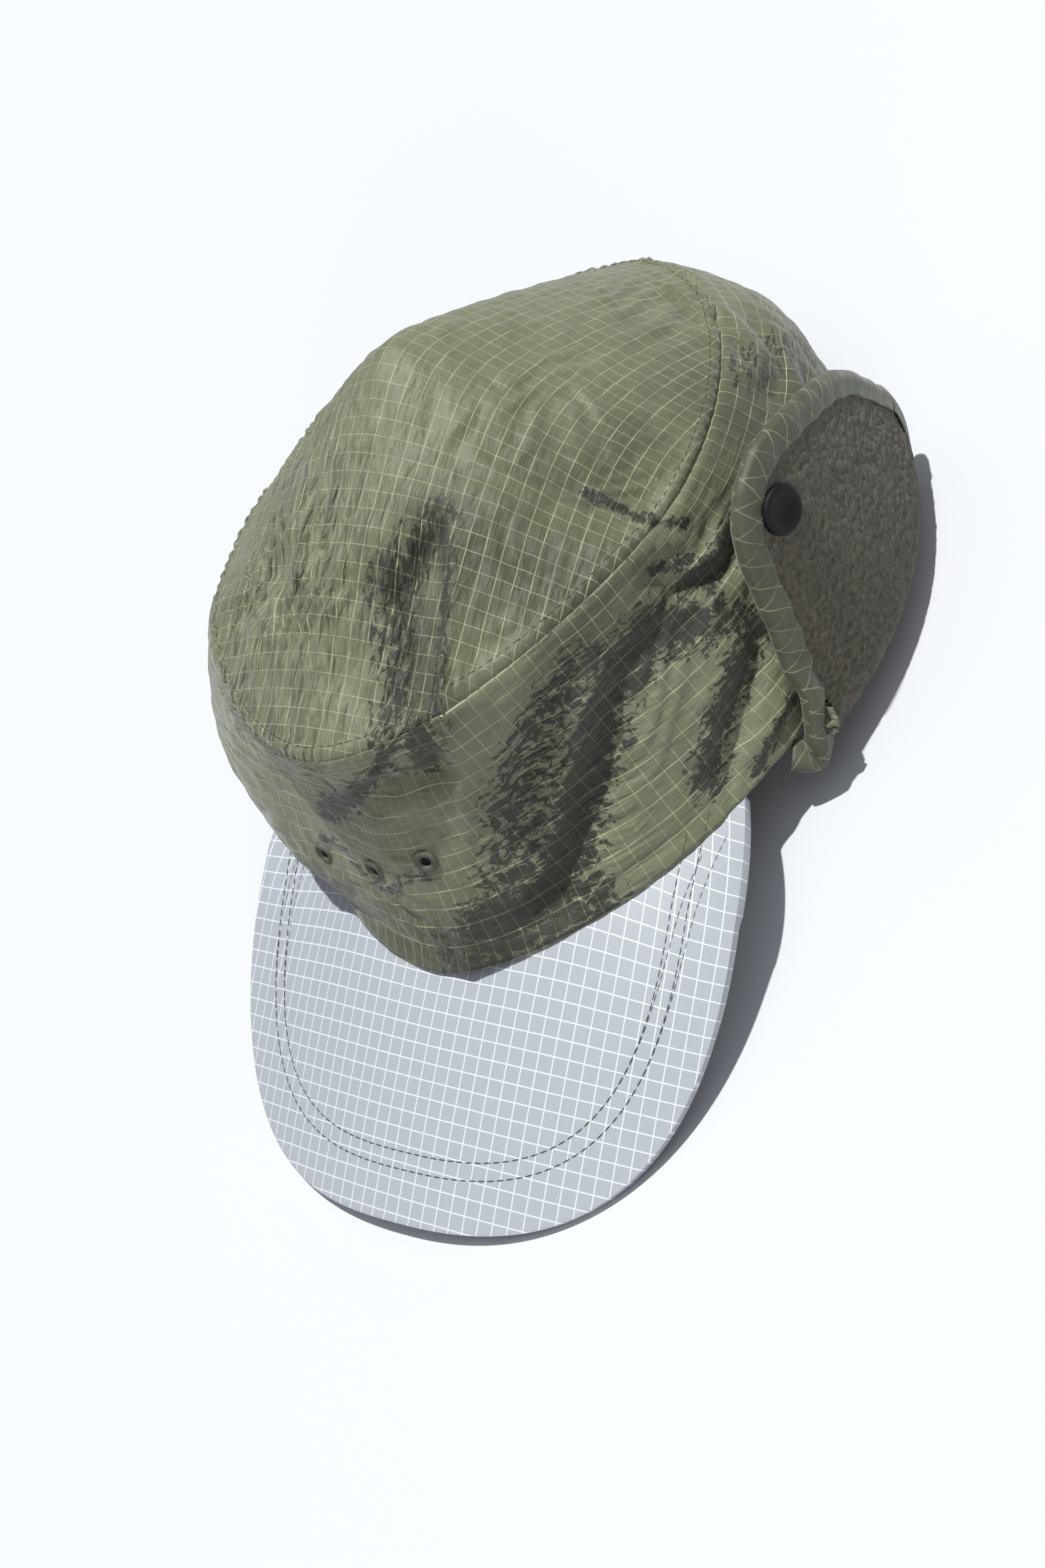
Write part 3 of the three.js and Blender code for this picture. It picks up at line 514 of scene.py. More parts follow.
# %% Smooth lines through a few places
def smooth_line(rows, share):
    """Places on a centripetal Catmull-Rom line through the rows."""
    points = np.array(rows, float)
    points = np.vstack([2 * points[0] - points[1], points, 2 * points[-1] - points[-2]])
    count = len(points) - 3
    at = np.clip(share, 0, 1) * count
    piece = np.minimum(at.astype(int), count - 1)
    t = (at - piece)[:, None]
    p0, p1, p2, p3 = (points[piece + k] for k in range(4))
    d0, d1, d2 = (np.linalg.norm(b - a, axis=1)[:, None] ** 0.5 for a, b in ((p0, p1), (p1, p2), (p2, p3)))
    start = ((p1 - p0) / d0 - (p2 - p0) / (d0 + d1) + (p2 - p1) / d1) * d1
    end = ((p2 - p1) / d1 - (p3 - p1) / (d1 + d2) + (p3 - p2) / d2) * d1
    bend = 3 * (p2 - p1) - 2 * start - end
    twist = 2 * (p1 - p2) + start + end
    return p1 + start * t + bend * t**2 + twist * t**3


# %% The main folds: name, places in degrees and level, width and height
CROWN_FOLDS = [
    ("pressed crease", [(11, 0), (25, 0.48), (37, 1)], 10, 3.2),
    ("pressed crease", [(37, 1), (46, 1.38)], 9, 3),
    ("hollow beside crease", [(42, 1.42), (28, 1.34), (24, 1.1)], 9, -4.5),
    ("shoulder ridge", [(0, 1.36), (18, 1.46), (40, 1.5)], 11, 2.6),
    ("right shoulder", [(-52, 1.02), (-64, 0.8)], 14, 2),
    ("dent over left seam", [(74, 1.25), (90, 1.06)], 9, -2.6),
    ("ridge over left seam", [(62, 1.38), (74, 1.09)], 10, 1.8),
    ("pocket behind flap", [(82, 0.84), (98, 0.74)], 8, -3.2),
    ("long slanting dent", [(78, 0.68), (64, 0.7), (49, 0.43), (34, 0.16)], 9, -3.8),
    ("short slanting dent", [(57, 0.88), (40, 0.58)], 8, -2),
    ("dent before flap", [(88, 0.46), (66, 0.15)], 9, -3),
    ("dent under front seam", [(-10, 0.76), (26, 0.81)], 7, -3.4),
    ("full forehead", [(-32, 0.32), (2, 0.4)], 20, 5.5),
    ("back ridge", [(157, 0.73), (134, 0.71)], 10, 1.2),
    ("left back hollow", [(150, 0.4), (124, 0.36)], 11, -2.6),
    ("right back hollow", [(-120, 0.4), (-150, 0.6)], 12, -2.6),
]
SHARP_FOLDS = ("pressed crease",)
FOLD_SPOTS = [[spot_on(smooth_crown, place)[0] for place in places] for _, places, _, _ in CROWN_FOLDS]


def distance_to_line(points, start, end):
    run = end - start
    share = np.clip((points - start) @ run / (run @ run), 0, 1)
    return np.linalg.norm(points - start - share[:, None] * run, axis=1)


def fold_height(points):
    strongest = {}
    for (name, _, width, height), spots in zip(CROWN_FOLDS, FOLD_SPOTS):
        for start, end in zip(spots, spots[1:]):
            distance = distance_to_line(points, start, end)
            raised = height * (np.exp(-distance / width) if name in SHARP_FOLDS else bell(distance, width))
            before = strongest.get(name, np.zeros(len(points)))
            strongest[name] = np.where(np.abs(raised) > np.abs(before), raised, before)
    return sum(strongest.values())


print("main folds:", len(CROWN_FOLDS), "rows, up to", max(abs(height) for *_, height in CROWN_FOLDS), "mm")

# %% [markdown]
# ## Tucks
# Where the cloth has slipped down over itself there is a tuck: the cloth is raised on one side of
# a line, hollow on the other, and steep between them. The steep part turns away from the light
# and goes dark. A tuck runs through the places in its row, and the raised side is on the left of
# that way when seen from outside. The height falls off smoothly on both sides. A crisp tuck has
# a sharp lip instead, as the pressed crease has on the top.

# %% The tucks: places, width and height
TUCKS = [
    ([(20, 0.13), (30, 0.14), (38, 0.22), (45, 0.36), (53, 0.51), (59, 0.63), (68, 0.7)], 4.5, 2),
    ([(37, 0.48), (39, 0.61), (45, 0.78), (52, 0.87), (62, 0.9)], 4.5, 1.4),
    ([(64, 0.12), (73, 0.3), (80, 0.36), (90, 0.45)], 4, 1.7),
    ([(70, 0.03), (77, 0.08), (86, 0.12)], 3, 1),
    ([(-18, 0.57), (7, 0.78), (18, 0.82), (25, 0.8), (31, 0.92)], 3.4, 2),
    ([(79, 0.84), (91, 0.71), (101, 0.76)], 2.8, 2),
    ([(78, 0.95), (90, 0.82)], 2.2, 0.9),
    ([(82, 1.24), (86, 1.08), (93, 0.9)], 2.2, 0.8),
    ([(123, 0.86), (136, 0.8), (148, 0.94)], 3.5, 1.4),
    ([(118, 0.58), (138, 0.64)], 3.5, 1.2),
    ([(35, 0.9), (41, 1.16), (46, 1.3), (50, 1.45)], 7, -3.3, "crisp"),
    ([(24, 0.96), (26, 1.12), (27, 1.24), (31, 1.37), (42, 1.46)], 4.5, 1.6),
    ([(-97, 0.5), (-80, 0.42), (-62, 0.28)], 5, 1.8),
    ([(-152, 0.33), (-128, 0.5), (-106, 0.74)], 5, 1.8),
]
TUCK_STEPS = 48
TUCK_ENDS = 0.16
CRISP_LIP = 0.3
CRISP_REACH = 1.6


def tuck_profile(share, crisp):
    if not crisp:
        return share * np.exp(0.5 - share**2 / 2)
    low = np.minimum(share, 0)
    hollow = (2 * np.exp(low / CRISP_LIP) - 1) * np.exp(low / CRISP_REACH)
    return np.where(share < 0, hollow, np.exp(-np.maximum(share, 0)))


def near_line(points, places):
    """How far along the line each point is, how far to the line's left, and how far past its ends."""
    share = np.linspace(0, 1, TUCK_STEPS)
    angle, level = smooth_line(places, share).T
    line = smooth_crown(np.radians(angle), level)
    outward = crown_normals(smooth_crown, np.radians(angle), level)
    across = unit(np.cross(outward, np.gradient(line, axis=0)))
    gap = points[:, None, :] - line[None, :, :]
    nearest = np.argmin((gap**2).sum(axis=2), axis=1)
    offset = gap[np.arange(len(points)), nearest]
    left = (offset * across[nearest]).sum(axis=1)
    beyond = np.sqrt(np.maximum((offset**2).sum(axis=1) - left**2, 0))
    return share[nearest], left, beyond


def tuck_height(points):
    total = np.zeros(len(points))
    for places, width, height, *crisp in TUCKS:
        share, left, beyond = near_line(points, places)
        ends = np.clip(np.minimum(share, 1 - share) / TUCK_ENDS, 0, 1)
        strength = abs(height) * ends * bell(beyond, 2 * width)
        total += strength * tuck_profile(left * np.sign(height) / width, crisp)
    return total


print("tucks:", len(TUCKS), "rows, up to", max(abs(height) for _, _, height, *_ in TUCKS), "mm")

# %% [markdown]
# ## Worn cloth and painted shade
# Where the cloth folds away from the light it goes dark with flaky edges; the finish paints that
# shade into the colour and adds a crackle bump there. Elsewhere it crinkles into streaks, with
# painted shade on one flank of each, and slopes and the turned-under hem that face away from the
# light get a softer painted shade. Facets that small would be too many to model, so three tables
# say where the finish shows them, each row a line with a width and an amount. The amounts are kept
# on the mesh's vertices, and the finish reads them.

# %% Where the cloth is worn and where shade is painted: places, width and amount
WEAR_AND_SHADE = {
    "fold_shade_and_crackle": [
        ([(48, 1.45), (39, 1.43), (31, 1.39), (27, 1.3), (27, 1.2), (26, 1.1), (25, 1.02)], 6.5, 0.7),
        ([(-18, 0.57), (7, 0.8), (18, 0.84), (25, 0.81), (29, 0.86), (31, 0.98)], 4.3, 1.15),
        ([(16, 0.88), (26, 0.98)], 2.4, 0.9),
        ([(68, 0.74), (60, 0.77), (52, 0.75), (45, 0.67), (39, 0.56), (37, 0.42)], 9, 0.7),
        ([(79, 0.63), (72, 0.72), (66, 0.69), (59, 0.63), (53, 0.51)], 8, 1.1),
        ([(59, 0.63), (53, 0.51), (45, 0.36), (38, 0.22), (30, 0.14), (18, 0.12)], 8, 1.1),
        ([(36, 0.5), (32, 0.34), (24, 0.16)], 10, 0.72),
        ([(88, 0.43), (80, 0.36), (73, 0.3), (68, 0.22), (64, 0.15)], 6, 0.95),
        ([(84, 0.12), (77, 0.08), (71, 0.03)], 2.4, 0.9),
        ([(83, 1.22), (85, 1.15), (86, 1.08), (88, 1.01), (93, 0.9)], 1.6, 0.9),
        ([(85, 0.75), (91, 0.71), (98, 0.74)], 4, 1.3),
        ([(80, 0.88), (88, 0.8)], 2, 0.85),
        ([(72, 0.72), (81, 0.64), (87, 0.47)], 6, 0.75),
        ([(8, 0.05), (21, 0.06), (38, 0.05)], 9, 0.85),
        ([(-24, 0.42), (-16, 0.4), (-12, 0.3), (-3, 0.28), (4, 0.36), (10, 0.36)], 2.2, 0.72),
        ([(49, 1.45), (45, 1.31), (40.5, 1.17), (36, 1.01)], 2.4, 0.86),
        ([(128, 0.9), (140, 0.7), (146, 0.5)], 9, 0.45),
        ([(-95, 0.5), (-80, 0.42), (-64, 0.28)], 5, 0.8),
        ([(-150, 0.33), (-128, 0.5), (-108, 0.72)], 5, 0.8),
    ],
    "crinkles_and_their_shade": [
        ([(-52, 1.6), (-40, 1.3), (-30, 1.08)], 24, 1),
        ([(-14, 1.55), (-14, 1.3), (-14, 1.06)], 22, 1),
        ([(34, 1.36), (32, 1.2), (30, 1.04)], 9, 0.8),
        ([(60, 0.8), (50, 0.5), (40, 0.2)], 16, 0.4),
    ],
    "painted_soft_shade": [
        ([(52, 1.36), (60, 1.2), (66, 1.05)], 20, 1),
        ([(78, 1.4), (90, 1.25), (104, 1.2)], 13, 0.7),
        ([(30, 1.38), (34, 1.22), (33, 1.04)], 10, 1),
        ([(-80, 0.12), (-45, 0.14), (-12, 0.06), (22, 0.06)], 15, 1),
        ([(120, 0.9), (135, 0.6), (150, 0.3)], 24, 0.8),
    ],
}
WORN_AND_SHADED_EVERYWHERE = {"fold_shade_and_crackle": 0, "crinkles_and_their_shade": 0.12, "painted_soft_shade": 0}


def worn_and_shaded_amount(points, rows):
    strongest = np.zeros(len(points))
    for places, width, amount in rows:
        _, left, beyond = near_line(points, places)
        strongest = np.maximum(strongest, amount * bell(left, width) * bell(beyond, width))
    return strongest


def wear_and_shade_of(points):
    return {name: WORN_AND_SHADED_EVERYWHERE[name] + worn_and_shaded_amount(points, rows) for name, rows in WEAR_AND_SHADE.items()}


print("rows of worn cloth:", {name: len(rows) for name, rows in WEAR_AND_SHADE.items()})

# %% [markdown]
# ## Pleats and crinkles
# Between the main folds the thin cloth gathers in families of small, nearly parallel pleats. One
# row of the table below is one family: the ends of its middle line, how far it spreads to each
# side, the distance from pleat to pleat and their height. Layers of noise bend them, so that no
# two are alike, and add small creases. A layer has a fineness, a start and a height.

# %% Families of small pleats: start, end, spread, pitch and height
PLEATS = {
    "right slope": ((-52, 1.55), (-30, 1.1), 26, 5.2, 1.25),
    "front slope": ((-14, 1.5), (-14, 1.08), 22, 5.4, 1.25),
    "beside crease": ((28, 1.36), (24, 1.04), 9, 4.6, 0.7),
    "behind crease": ((56, 1.5), (50, 1.06), 20, 11, 0.8),
    "over left seam": ((78, 1.3), (92, 1.05), 9, 4.4, 0.8),
    "under left seam": ((74, 0.86), (100, 0.74), 10, 5, 0.8),
    "along long dent": ((80, 0.66), (42, 0.3), 17, 6.5, 0.7),
    "before flap": ((90, 0.5), (68, 0.14), 12, 5.5, 0.7),
    "under front seam": ((-14, 0.84), (28, 0.86), 7, 5, 0.8),
    "forehead": ((-40, 0.5), (-6, 0.16), 16, 7.5, 0.8),
    "middle of the top": ((90, 1.6), (110, 1.2), 24, 15, 0.6),
    "back of the top": ((118, 1.6), (150, 1.15), 30, 12, 0.9),
    "back of the band": ((150, 0.9), (140, 0.3), 26, 10, 0.9),
    "right side": ((-70, 0.85), (-80, 0.3), 26, 9, 0.9),
    "right of the top": ((-100, 1.5), (-110, 1.1), 34, 9, 0.9),
}
PLEAT_BENDS = [(0.05, 0.0, 1.8)]
PLEAT_FADES = [(0.035, 7.0, 1.4)]
PLEAT_SHOWN = {"usual": 0.75, "most": 1.5}
PLEAT_SHARPNESS = 1.3
PLEAT_MIDDLE = 0.4
CREASES = [(0.16, 3.0, 0.45), (0.4, 5.0, 0.16)]
NOISE_SHIFT = (1, 1.7, -1)


def smooth_noise(points, fineness, start):
    shift = Vector([start * part for part in NOISE_SHIFT])
    return np.array([noise.noise(Vector(point) * fineness + shift) for point in points])


def layered_noise(points, layers):
    return sum(height * smooth_noise(points, fineness, start) for fineness, start, height in layers)


def pleat_height(points):
    bends = layered_noise(points, PLEAT_BENDS)
    fades = np.clip(PLEAT_SHOWN["usual"] + layered_noise(points, PLEAT_FADES), 0, PLEAT_SHOWN["most"])
    total = layered_noise(points, CREASES)
    for first, last, spread, pitch, height in PLEATS.values():
        start, outward = spot_on(smooth_crown, first)
        end = spot_on(smooth_crown, last)[0]
        across = unit(np.cross(outward, end - start))
        phase = (points - (start + end) / 2) @ across / pitch + bends
        near = bell(distance_to_line(points, start, end), spread)
        ridge = (0.5 + 0.5 * np.cos(2 * np.pi * phase)) ** PLEAT_SHARPNESS
        total += height * near * fades * (ridge - PLEAT_MIDDLE)
    return total


print("families of pleats:", len(PLEATS))

# %% [markdown]
# ## The seam and the hem
# Where the top panel meets the band, the seam allowance makes a narrow roll on the top panel's
# side, held by a line of stitches, and the cloth puckers beside it. The rim is turned under in a
# hem. Both are only a millimetre high, but they are what makes a hat look sewn. The threads of
# the eyelets hold the cloth flat, so the folds fade out beside them.

# %% Relief of the seam and hem
BAND_DEPTH = 68.0
TOP_DEPTH = 84.0
SEAM_GROOVE = {"depth": 0.9, "width": 1.1}
SEAM_ROLL = {"height": 0.6, "away": 1.9, "width": 1.3}
PUCKER = {"count": 124, "height": 0.25, "reach": 6.0, "on_roll": 0.25}
PUCKER_WANDER = [(7, 0.0, 0.9), (17, 1.0, 0.6)]
RIM_TURN = {"angle": -15, "spread": 48}
RIM_BULGE = {"out": 1.8, "height": 13, "width": 8}
RIM_IN = {"in": 1.2, "height": 5}
HEM_GROOVE = {"height": 4.5, "depth": 0.45, "width": 1.2}
EYELETS = {"eyelet_1": (-25, 0.33), "eyelet_2": (-7.5, 0.36), "eyelet_3": (13, 0.43)}
EYELET_CALM = 6.0


def seam_relief(angle, level):
    away = np.abs(level - 1) * np.where(level > 1, TOP_DEPTH, BAND_DEPTH)
    wander = sum(swing * np.sin(count * angle + start) for count, start, swing in PUCKER_WANDER)
    pucker = np.sin(PUCKER["count"] * angle + wander)
    relief = PUCKER["height"] * pucker * np.exp(-away / PUCKER["reach"])
    relief -= SEAM_GROOVE["depth"] * bell(away, SEAM_GROOVE["width"])
    roll = SEAM_ROLL["height"] * bell(away - SEAM_ROLL["away"], SEAM_ROLL["width"])
    relief += np.where(level > 1, roll * (1 + PUCKER["on_roll"] * pucker), 0)
    height = level * BAND_DEPTH
    turn = RIM_BULGE["out"] * bell(height - RIM_BULGE["height"], RIM_BULGE["width"])
    turn -= RIM_IN["in"] * np.exp(-height / RIM_IN["height"])
    relief += turn * bell(np.degrees(angle) - RIM_TURN["angle"], RIM_TURN["spread"])
    return relief - HEM_GROOVE["depth"] * bell(height - HEM_GROOVE["height"], HEM_GROOVE["width"])


def main_crown(angle, level):
    points = smooth_crown(angle, level)
    return points + crown_normals(smooth_crown, angle, level) * fold_height(points)[:, None]


def calm_at_eyelets(points):
    """0 at an eyelet, where the thread holds the cloth flat, and 1 away from it."""
    calm = np.ones(len(points))
    for place in EYELETS.values():
        calm *= 1 - bell(np.linalg.norm(points - spot_on(main_crown, place)[0], axis=1), EYELET_CALM)
    return calm


def finished_crown(angle, level):
    points = main_crown(angle, level)
    tucks = tuck_height(smooth_crown(angle, level))
    relief = (tucks + pleat_height(points)) * calm_at_eyelets(points) + seam_relief(angle, level)
    points = points + crown_normals(smooth_crown, angle, level) * relief[:, None]
    return press_on_floor(points)


# %% [markdown]
# ## Cloth pressed on the floor
# The back of the rim carries the hat's weight, so what would reach through the floor is laid flat
# on it.

# %% Press the hem flat
FLOOR_NORMAL = np.array([0.0, -math.sin(REST_TIP), math.cos(REST_TIP)])


def press_on_floor(points):
    height = points @ FLOOR_NORMAL + REST_LIFT - FLOOR_GAP
    return points - np.minimum(height, 0)[:, None] * FLOOR_NORMAL


crown_top = finished_crown(np.zeros(1), np.full(1, 2.0))[0]
print("the crown's top stands", round(float(crown_top[2]), 1), "mm over the rim")

# %% [markdown]
# ## The band
# The band is one long strip, so its grid runs once round the head and closes on itself. Round
# holes are left for the eyelets: the few cells nearest each eyelet's middle are taken out, and
# the eyelet's stitched ring will cover their edge.

# %% Make the band
BAND_CELLS = (420, 84)
CLOTH = 1.2
EYELET_CUT = 2.3
HEAD_MIDDLE = Vector((0, 0, 20))


def band_shape(u, v):
    angle = (u - 0.5) * 2 * np.pi
    around = angle * (RIM["half_width"] + RIM["half_length"]) / 2
    cloth = np.stack([around, v * BAND_DEPTH], axis=-1)
    return finished_crown(angle, v), cloth, wear_and_shade_of(smooth_crown(angle, v))


band_mesh = shaped_grid(*BAND_CELLS, band_shape, HEAD_MIDDLE)
for place in EYELETS.values():
    middle = Vector(spot_on(main_crown, place)[0])
    cut = [face for face in band_mesh.faces if (face.calc_center_median() - middle).length < EYELET_CUT]
    bmesh.ops.delete(band_mesh, geom=cut, context="FACES")
dress(thicken(new_piece(band_mesh, "band_cloth"), CLOTH), olive_ripstop, "ripstop", "side_band")

# %% [markdown]
# ## The top panel
# A grid of rings and spokes would crowd its cells together at the top. Instead a square grid is
# laid over the oval, each square ring of cells becoming one oval ring, so that the cells stay
# much the same size. Its weave runs straight with the hat, whatever the outline does.

# %% Make the top panel
TOP_CELLS = 196
TOP_MIDDLE = 1e-9


def top_places(u, v):
    a, b = 2 * u - 1, 2 * v - 1
    spread = np.maximum(np.abs(a), np.abs(b))
    safe_a = np.where(np.abs(a) > TOP_MIDDLE, a, TOP_MIDDLE)
    safe_b = np.where(np.abs(b) > TOP_MIDDLE, b, TOP_MIDDLE)
    sideways = np.pi / 4 * (b / safe_a) + np.where(a < 0, np.pi, 0)
    endways = np.pi / 2 - np.pi / 4 * (a / safe_b) + np.where(b < 0, np.pi, 0)
    angle = np.where(np.abs(a) > np.abs(b), sideways, endways)
    return (angle + np.pi) % (2 * np.pi) - np.pi, 2 - spread


def top_shape(u, v):
    angle, level = top_places(u, v)
    smooth = smooth_crown(angle, level)
    flat = smooth[:, :2] - np.array([0.0, CROWN_APEX_BACK])
    reach = np.linalg.norm(flat, axis=1)
    slope = np.hypot(reach, CROWN_HEIGHT - smooth[:, 2])
    cloth = flat * (slope / np.maximum(reach, TINY))[:, None]
    return finished_crown(angle, level), cloth[:, ::-1], wear_and_shade_of(smooth)


top_mesh = shaped_grid(TOP_CELLS, TOP_CELLS, top_shape, HEAD_MIDDLE)
dress(thicken(new_piece(top_mesh, "top_cloth"), CLOTH), olive_ripstop, "ripstop", "top_panel")

# %% [markdown]
# ## Rows of stitches
# A machine stitch is a short length of thread that dips into the cloth at both ends. Hundreds of
# them are needed, so each is a very low sphere, stretched to the stitch's length and laid along
# the line. The rows follow lines on the cloth's own surface.

# %% Helpers for stitches
STITCH = {"length": 2.3, "pitch": 2.9, "radius": 0.17}
STITCH_LIFT = 0.02
STITCH_FLATNESS = 0.8
STITCH_SIDES = 6
STITCH_RINGS = 4


def even_walk(points, pitch):
    steps = np.linalg.norm(np.diff(points, axis=0), axis=1)
    run = np.concatenate([[0], np.cumsum(steps)])
    stops = np.arange(pitch / 2, run[-1], pitch)
    return np.stack([np.interp(stops, run, points[:, axis]) for axis in range(3)], axis=-1)


def stitch_row(bm, line, normals, stitch=STITCH):
    radius = stitch["radius"]
    size = Matrix.Diagonal((stitch["length"] / 2, radius, radius * STITCH_FLATNESS, 1))
    for middle in even_walk(line, stitch["pitch"]):
        nearest = int(np.argmin(np.linalg.norm(line - middle, axis=1)))
        ahead = line[min(nearest + 1, len(line) - 1)] - line[max(nearest - 1, 0)]
        along = Vector(ahead).normalized()
        out = Vector(normals[nearest])
        side = along.cross(out).normalized()
        turn = Matrix((along, side, along.cross(side))).transposed().to_4x4()
        place = Matrix.Translation(Vector(middle) + out * STITCH_LIFT) @ turn @ size
        bmesh.ops.create_uvsphere(
            bm, u_segments=STITCH_SIDES, v_segments=STITCH_RINGS, radius=1, matrix=place
        )


def finish_stitches(bm, name):
    bmesh.ops.recalc_face_normals(bm, faces=bm.faces)
    dress(new_piece(bm, name), dark_thread, "thread")


# %% Stitch the crown's seam
SEAM_STEPS = 720
SEAM_STITCHES_AWAY = 3.2

seam_angles = np.linspace(-np.pi, np.pi, SEAM_STEPS)
seam_levels = np.full(SEAM_STEPS, 1 + SEAM_STITCHES_AWAY / TOP_DEPTH)
seam_line = finished_crown(seam_angles, seam_levels)
seam_thread = bmesh.new()
stitch_row(seam_thread, seam_line, crown_normals(smooth_crown, seam_angles, seam_levels))
finish_stitches(seam_thread, "seam_stitches")

# %% [markdown]
# ## Eyelets
# Each eyelet is a small hole closed round with thread: dozens of short threads lie side by side
# from the hole to the rim of the ring. A spun circle makes the ring, and every other step of the
# spin is drawn in a little, which leaves the ridges between threads.

# %% Make the eyelets
EYELET_RING = {"outer": 3.7, "hole": 1.35, "height": 1.1}
EYELET_STEPS = 96
EYELET_PROFILE_SIDES = 10
THREAD_RIDGE = 0.16


def standing(point, normal):
    turn = Vector((0, 0, 1)).rotation_difference(Vector(normal)).to_matrix().to_4x4()
    return Matrix.Translation(Vector(point)) @ turn


def spin_round(bm, steps):
    """Spin the drawn half section once round the upright axis and join the two ends."""
    bmesh.ops.spin(
        bm,
        geom=bm.verts[:] + bm.edges[:],
        cent=(0, 0, 0),
        axis=(0, 0, 1),
        angle=2 * math.pi,
        steps=steps,
        use_merge=True,
    )
    bmesh.ops.remove_doubles(bm, verts=bm.verts, dist=JOIN)


def make_eyelet(name, place):
    bm = bmesh.new()
    half_width = (EYELET_RING["outer"] - EYELET_RING["hole"]) / 2
    centre = EYELET_RING["hole"] + half_width
    flat = Matrix.Diagonal((half_width, 1, EYELET_RING["height"], 1))
    section = Matrix.Translation((centre, 0, 0)) @ flat @ Matrix.Rotation(math.pi / 2, 4, "X")
    bmesh.ops.create_circle(bm, segments=EYELET_PROFILE_SIDES, radius=1, matrix=section)
    spin_round(bm, EYELET_STEPS)
    for vert in bm.verts:
        turn = math.atan2(vert.co.y, vert.co.x)
        if round(turn / (2 * math.pi) * EYELET_STEPS) % 2:
            spoke = Vector((math.cos(turn), math.sin(turn), 0)) * centre
            vert.co = spoke + (vert.co - spoke) * (1 - THREAD_RIDGE)
    bmesh.ops.recalc_face_normals(bm, faces=bm.faces)
    bmesh.ops.transform(bm, matrix=standing(*spot_on(main_crown, place)), verts=bm.verts)
    dress(new_piece(bm, name + "_ring"), taupe_thread, "thread", name)


for eyelet_name, eyelet_place in EYELETS.items():
    make_eyelet(eyelet_name, eyelet_place)

# %% [markdown]
# ## The peak
# The peak is cut flat, as a rounded apron with a hollow back edge, and then bent round the
# forehead. It is easiest to work out the same way: first a place on the flat pattern, measured
# across and forwards, then the bend, and last the back edge drawn in to meet the rim. The flat
# pattern is also the cloth's UV map, so its grid stays square on the board.

# %% The peak's flat pattern
PEAK_THICKNESS = 2.6
PEAK_PITCH = math.radians(27)
PEAK_HALF_WIDTH = 90.6
PEAK_LENGTH = 72.1
PEAK_WIDEST_BACK = 24.4
PEAK_ROUNDNESS = 2.64
PEAK_FLARE = {"width": 4.6, "length": 60.0, "power": 1.3}
PEAK_CORNER_BACK = 56.8
PEAK_CORNER_WIDTH = 92.5
PEAK_MIDDLE_BACK = -2.5
PEAK_BACK_POWER = 1.9
PEAK_SPREAD_POWER = 5
PEAK_SIDE_SHARE = 0.36
PEAK_STRAIGHT_SHARE = 0.26
PEAK_UNDER_RIM = 1.8
PEAK_RIM_ANGLE = math.radians(67)
RIM_GAP = 0.35


def peak_outline(share, side):
    straight = np.clip(share / PEAK_STRAIGHT_SHARE, 0, 1)
    back = PEAK_CORNER_BACK + (PEAK_WIDEST_BACK - PEAK_CORNER_BACK) * straight
    behind = (back - PEAK_WIDEST_BACK) / PEAK_FLARE["length"]
    wide = PEAK_HALF_WIDTH + PEAK_FLARE["width"] * behind ** PEAK_FLARE["power"]
    angle = np.clip((share - PEAK_STRAIGHT_SHARE) / (1 - PEAK_STRAIGHT_SHARE), 0, 1) * np.pi / 2
    power = 2 / PEAK_ROUNDNESS
    across = PEAK_HALF_WIDTH * np.clip(np.cos(angle), 0, 1) ** power
    reach = (PEAK_LENGTH + PEAK_WIDEST_BACK) * np.sin(angle) ** power
    curved = share >= PEAK_STRAIGHT_SHARE
    x = np.where(curved, across, wide)
    y = np.where(curved, reach - PEAK_WIDEST_BACK, -back)
    return np.stack([side * x, y], axis=-1)


def peak_front(share):
    from_middle = 2 * np.abs(share - 0.5)
    around = 1 + (PEAK_SIDE_SHARE - 1) * from_middle
    return peak_outline(around, np.where(share < 0.5, -1, 1))


def peak_sewn_at(share):
    angle = (2 * share - 1) * PEAK_RIM_ANGLE
    points = rim_points(angle)
    points[:, 0] -= np.sin(angle) * PEAK_UNDER_RIM
    points[:, 1] += np.cos(angle) * PEAK_UNDER_RIM
    points[:, 2] -= RIM_GAP
    return points


def peak_back(share):
    corner = peak_sewn_at(np.ones(1))[0, 0]
    sewn = peak_sewn_at(share)[:, 0] / corner
    across = sewn * corner + (PEAK_CORNER_WIDTH - corner) * sewn**PEAK_SPREAD_POWER
    back = np.abs(across / PEAK_CORNER_WIDTH) ** PEAK_BACK_POWER
    return np.stack([across, -PEAK_MIDDLE_BACK + (PEAK_MIDDLE_BACK - PEAK_CORNER_BACK) * back], axis=-1)


def mixed(first, second, share):
    return first + (second - first) * share[:, None]


def peak_flat(share, forward):
    nothing, whole = np.zeros_like(share), np.ones_like(share)
    across = mixed(peak_back(share), peak_front(share), forward)
    left = peak_outline(forward * PEAK_SIDE_SHARE, -1)
    right = peak_outline(forward * PEAK_SIDE_SHARE, 1)
    back_corners = mixed(peak_back(nothing), peak_back(whole), share)
    front_corners = mixed(peak_front(nothing), peak_front(whole), share)
    return across + mixed(left, right, share) - mixed(back_corners, front_corners, forward)


print("flat peak:", 2 * PEAK_HALF_WIDTH, "mm wide,", PEAK_LENGTH, "mm long in front of the rim")

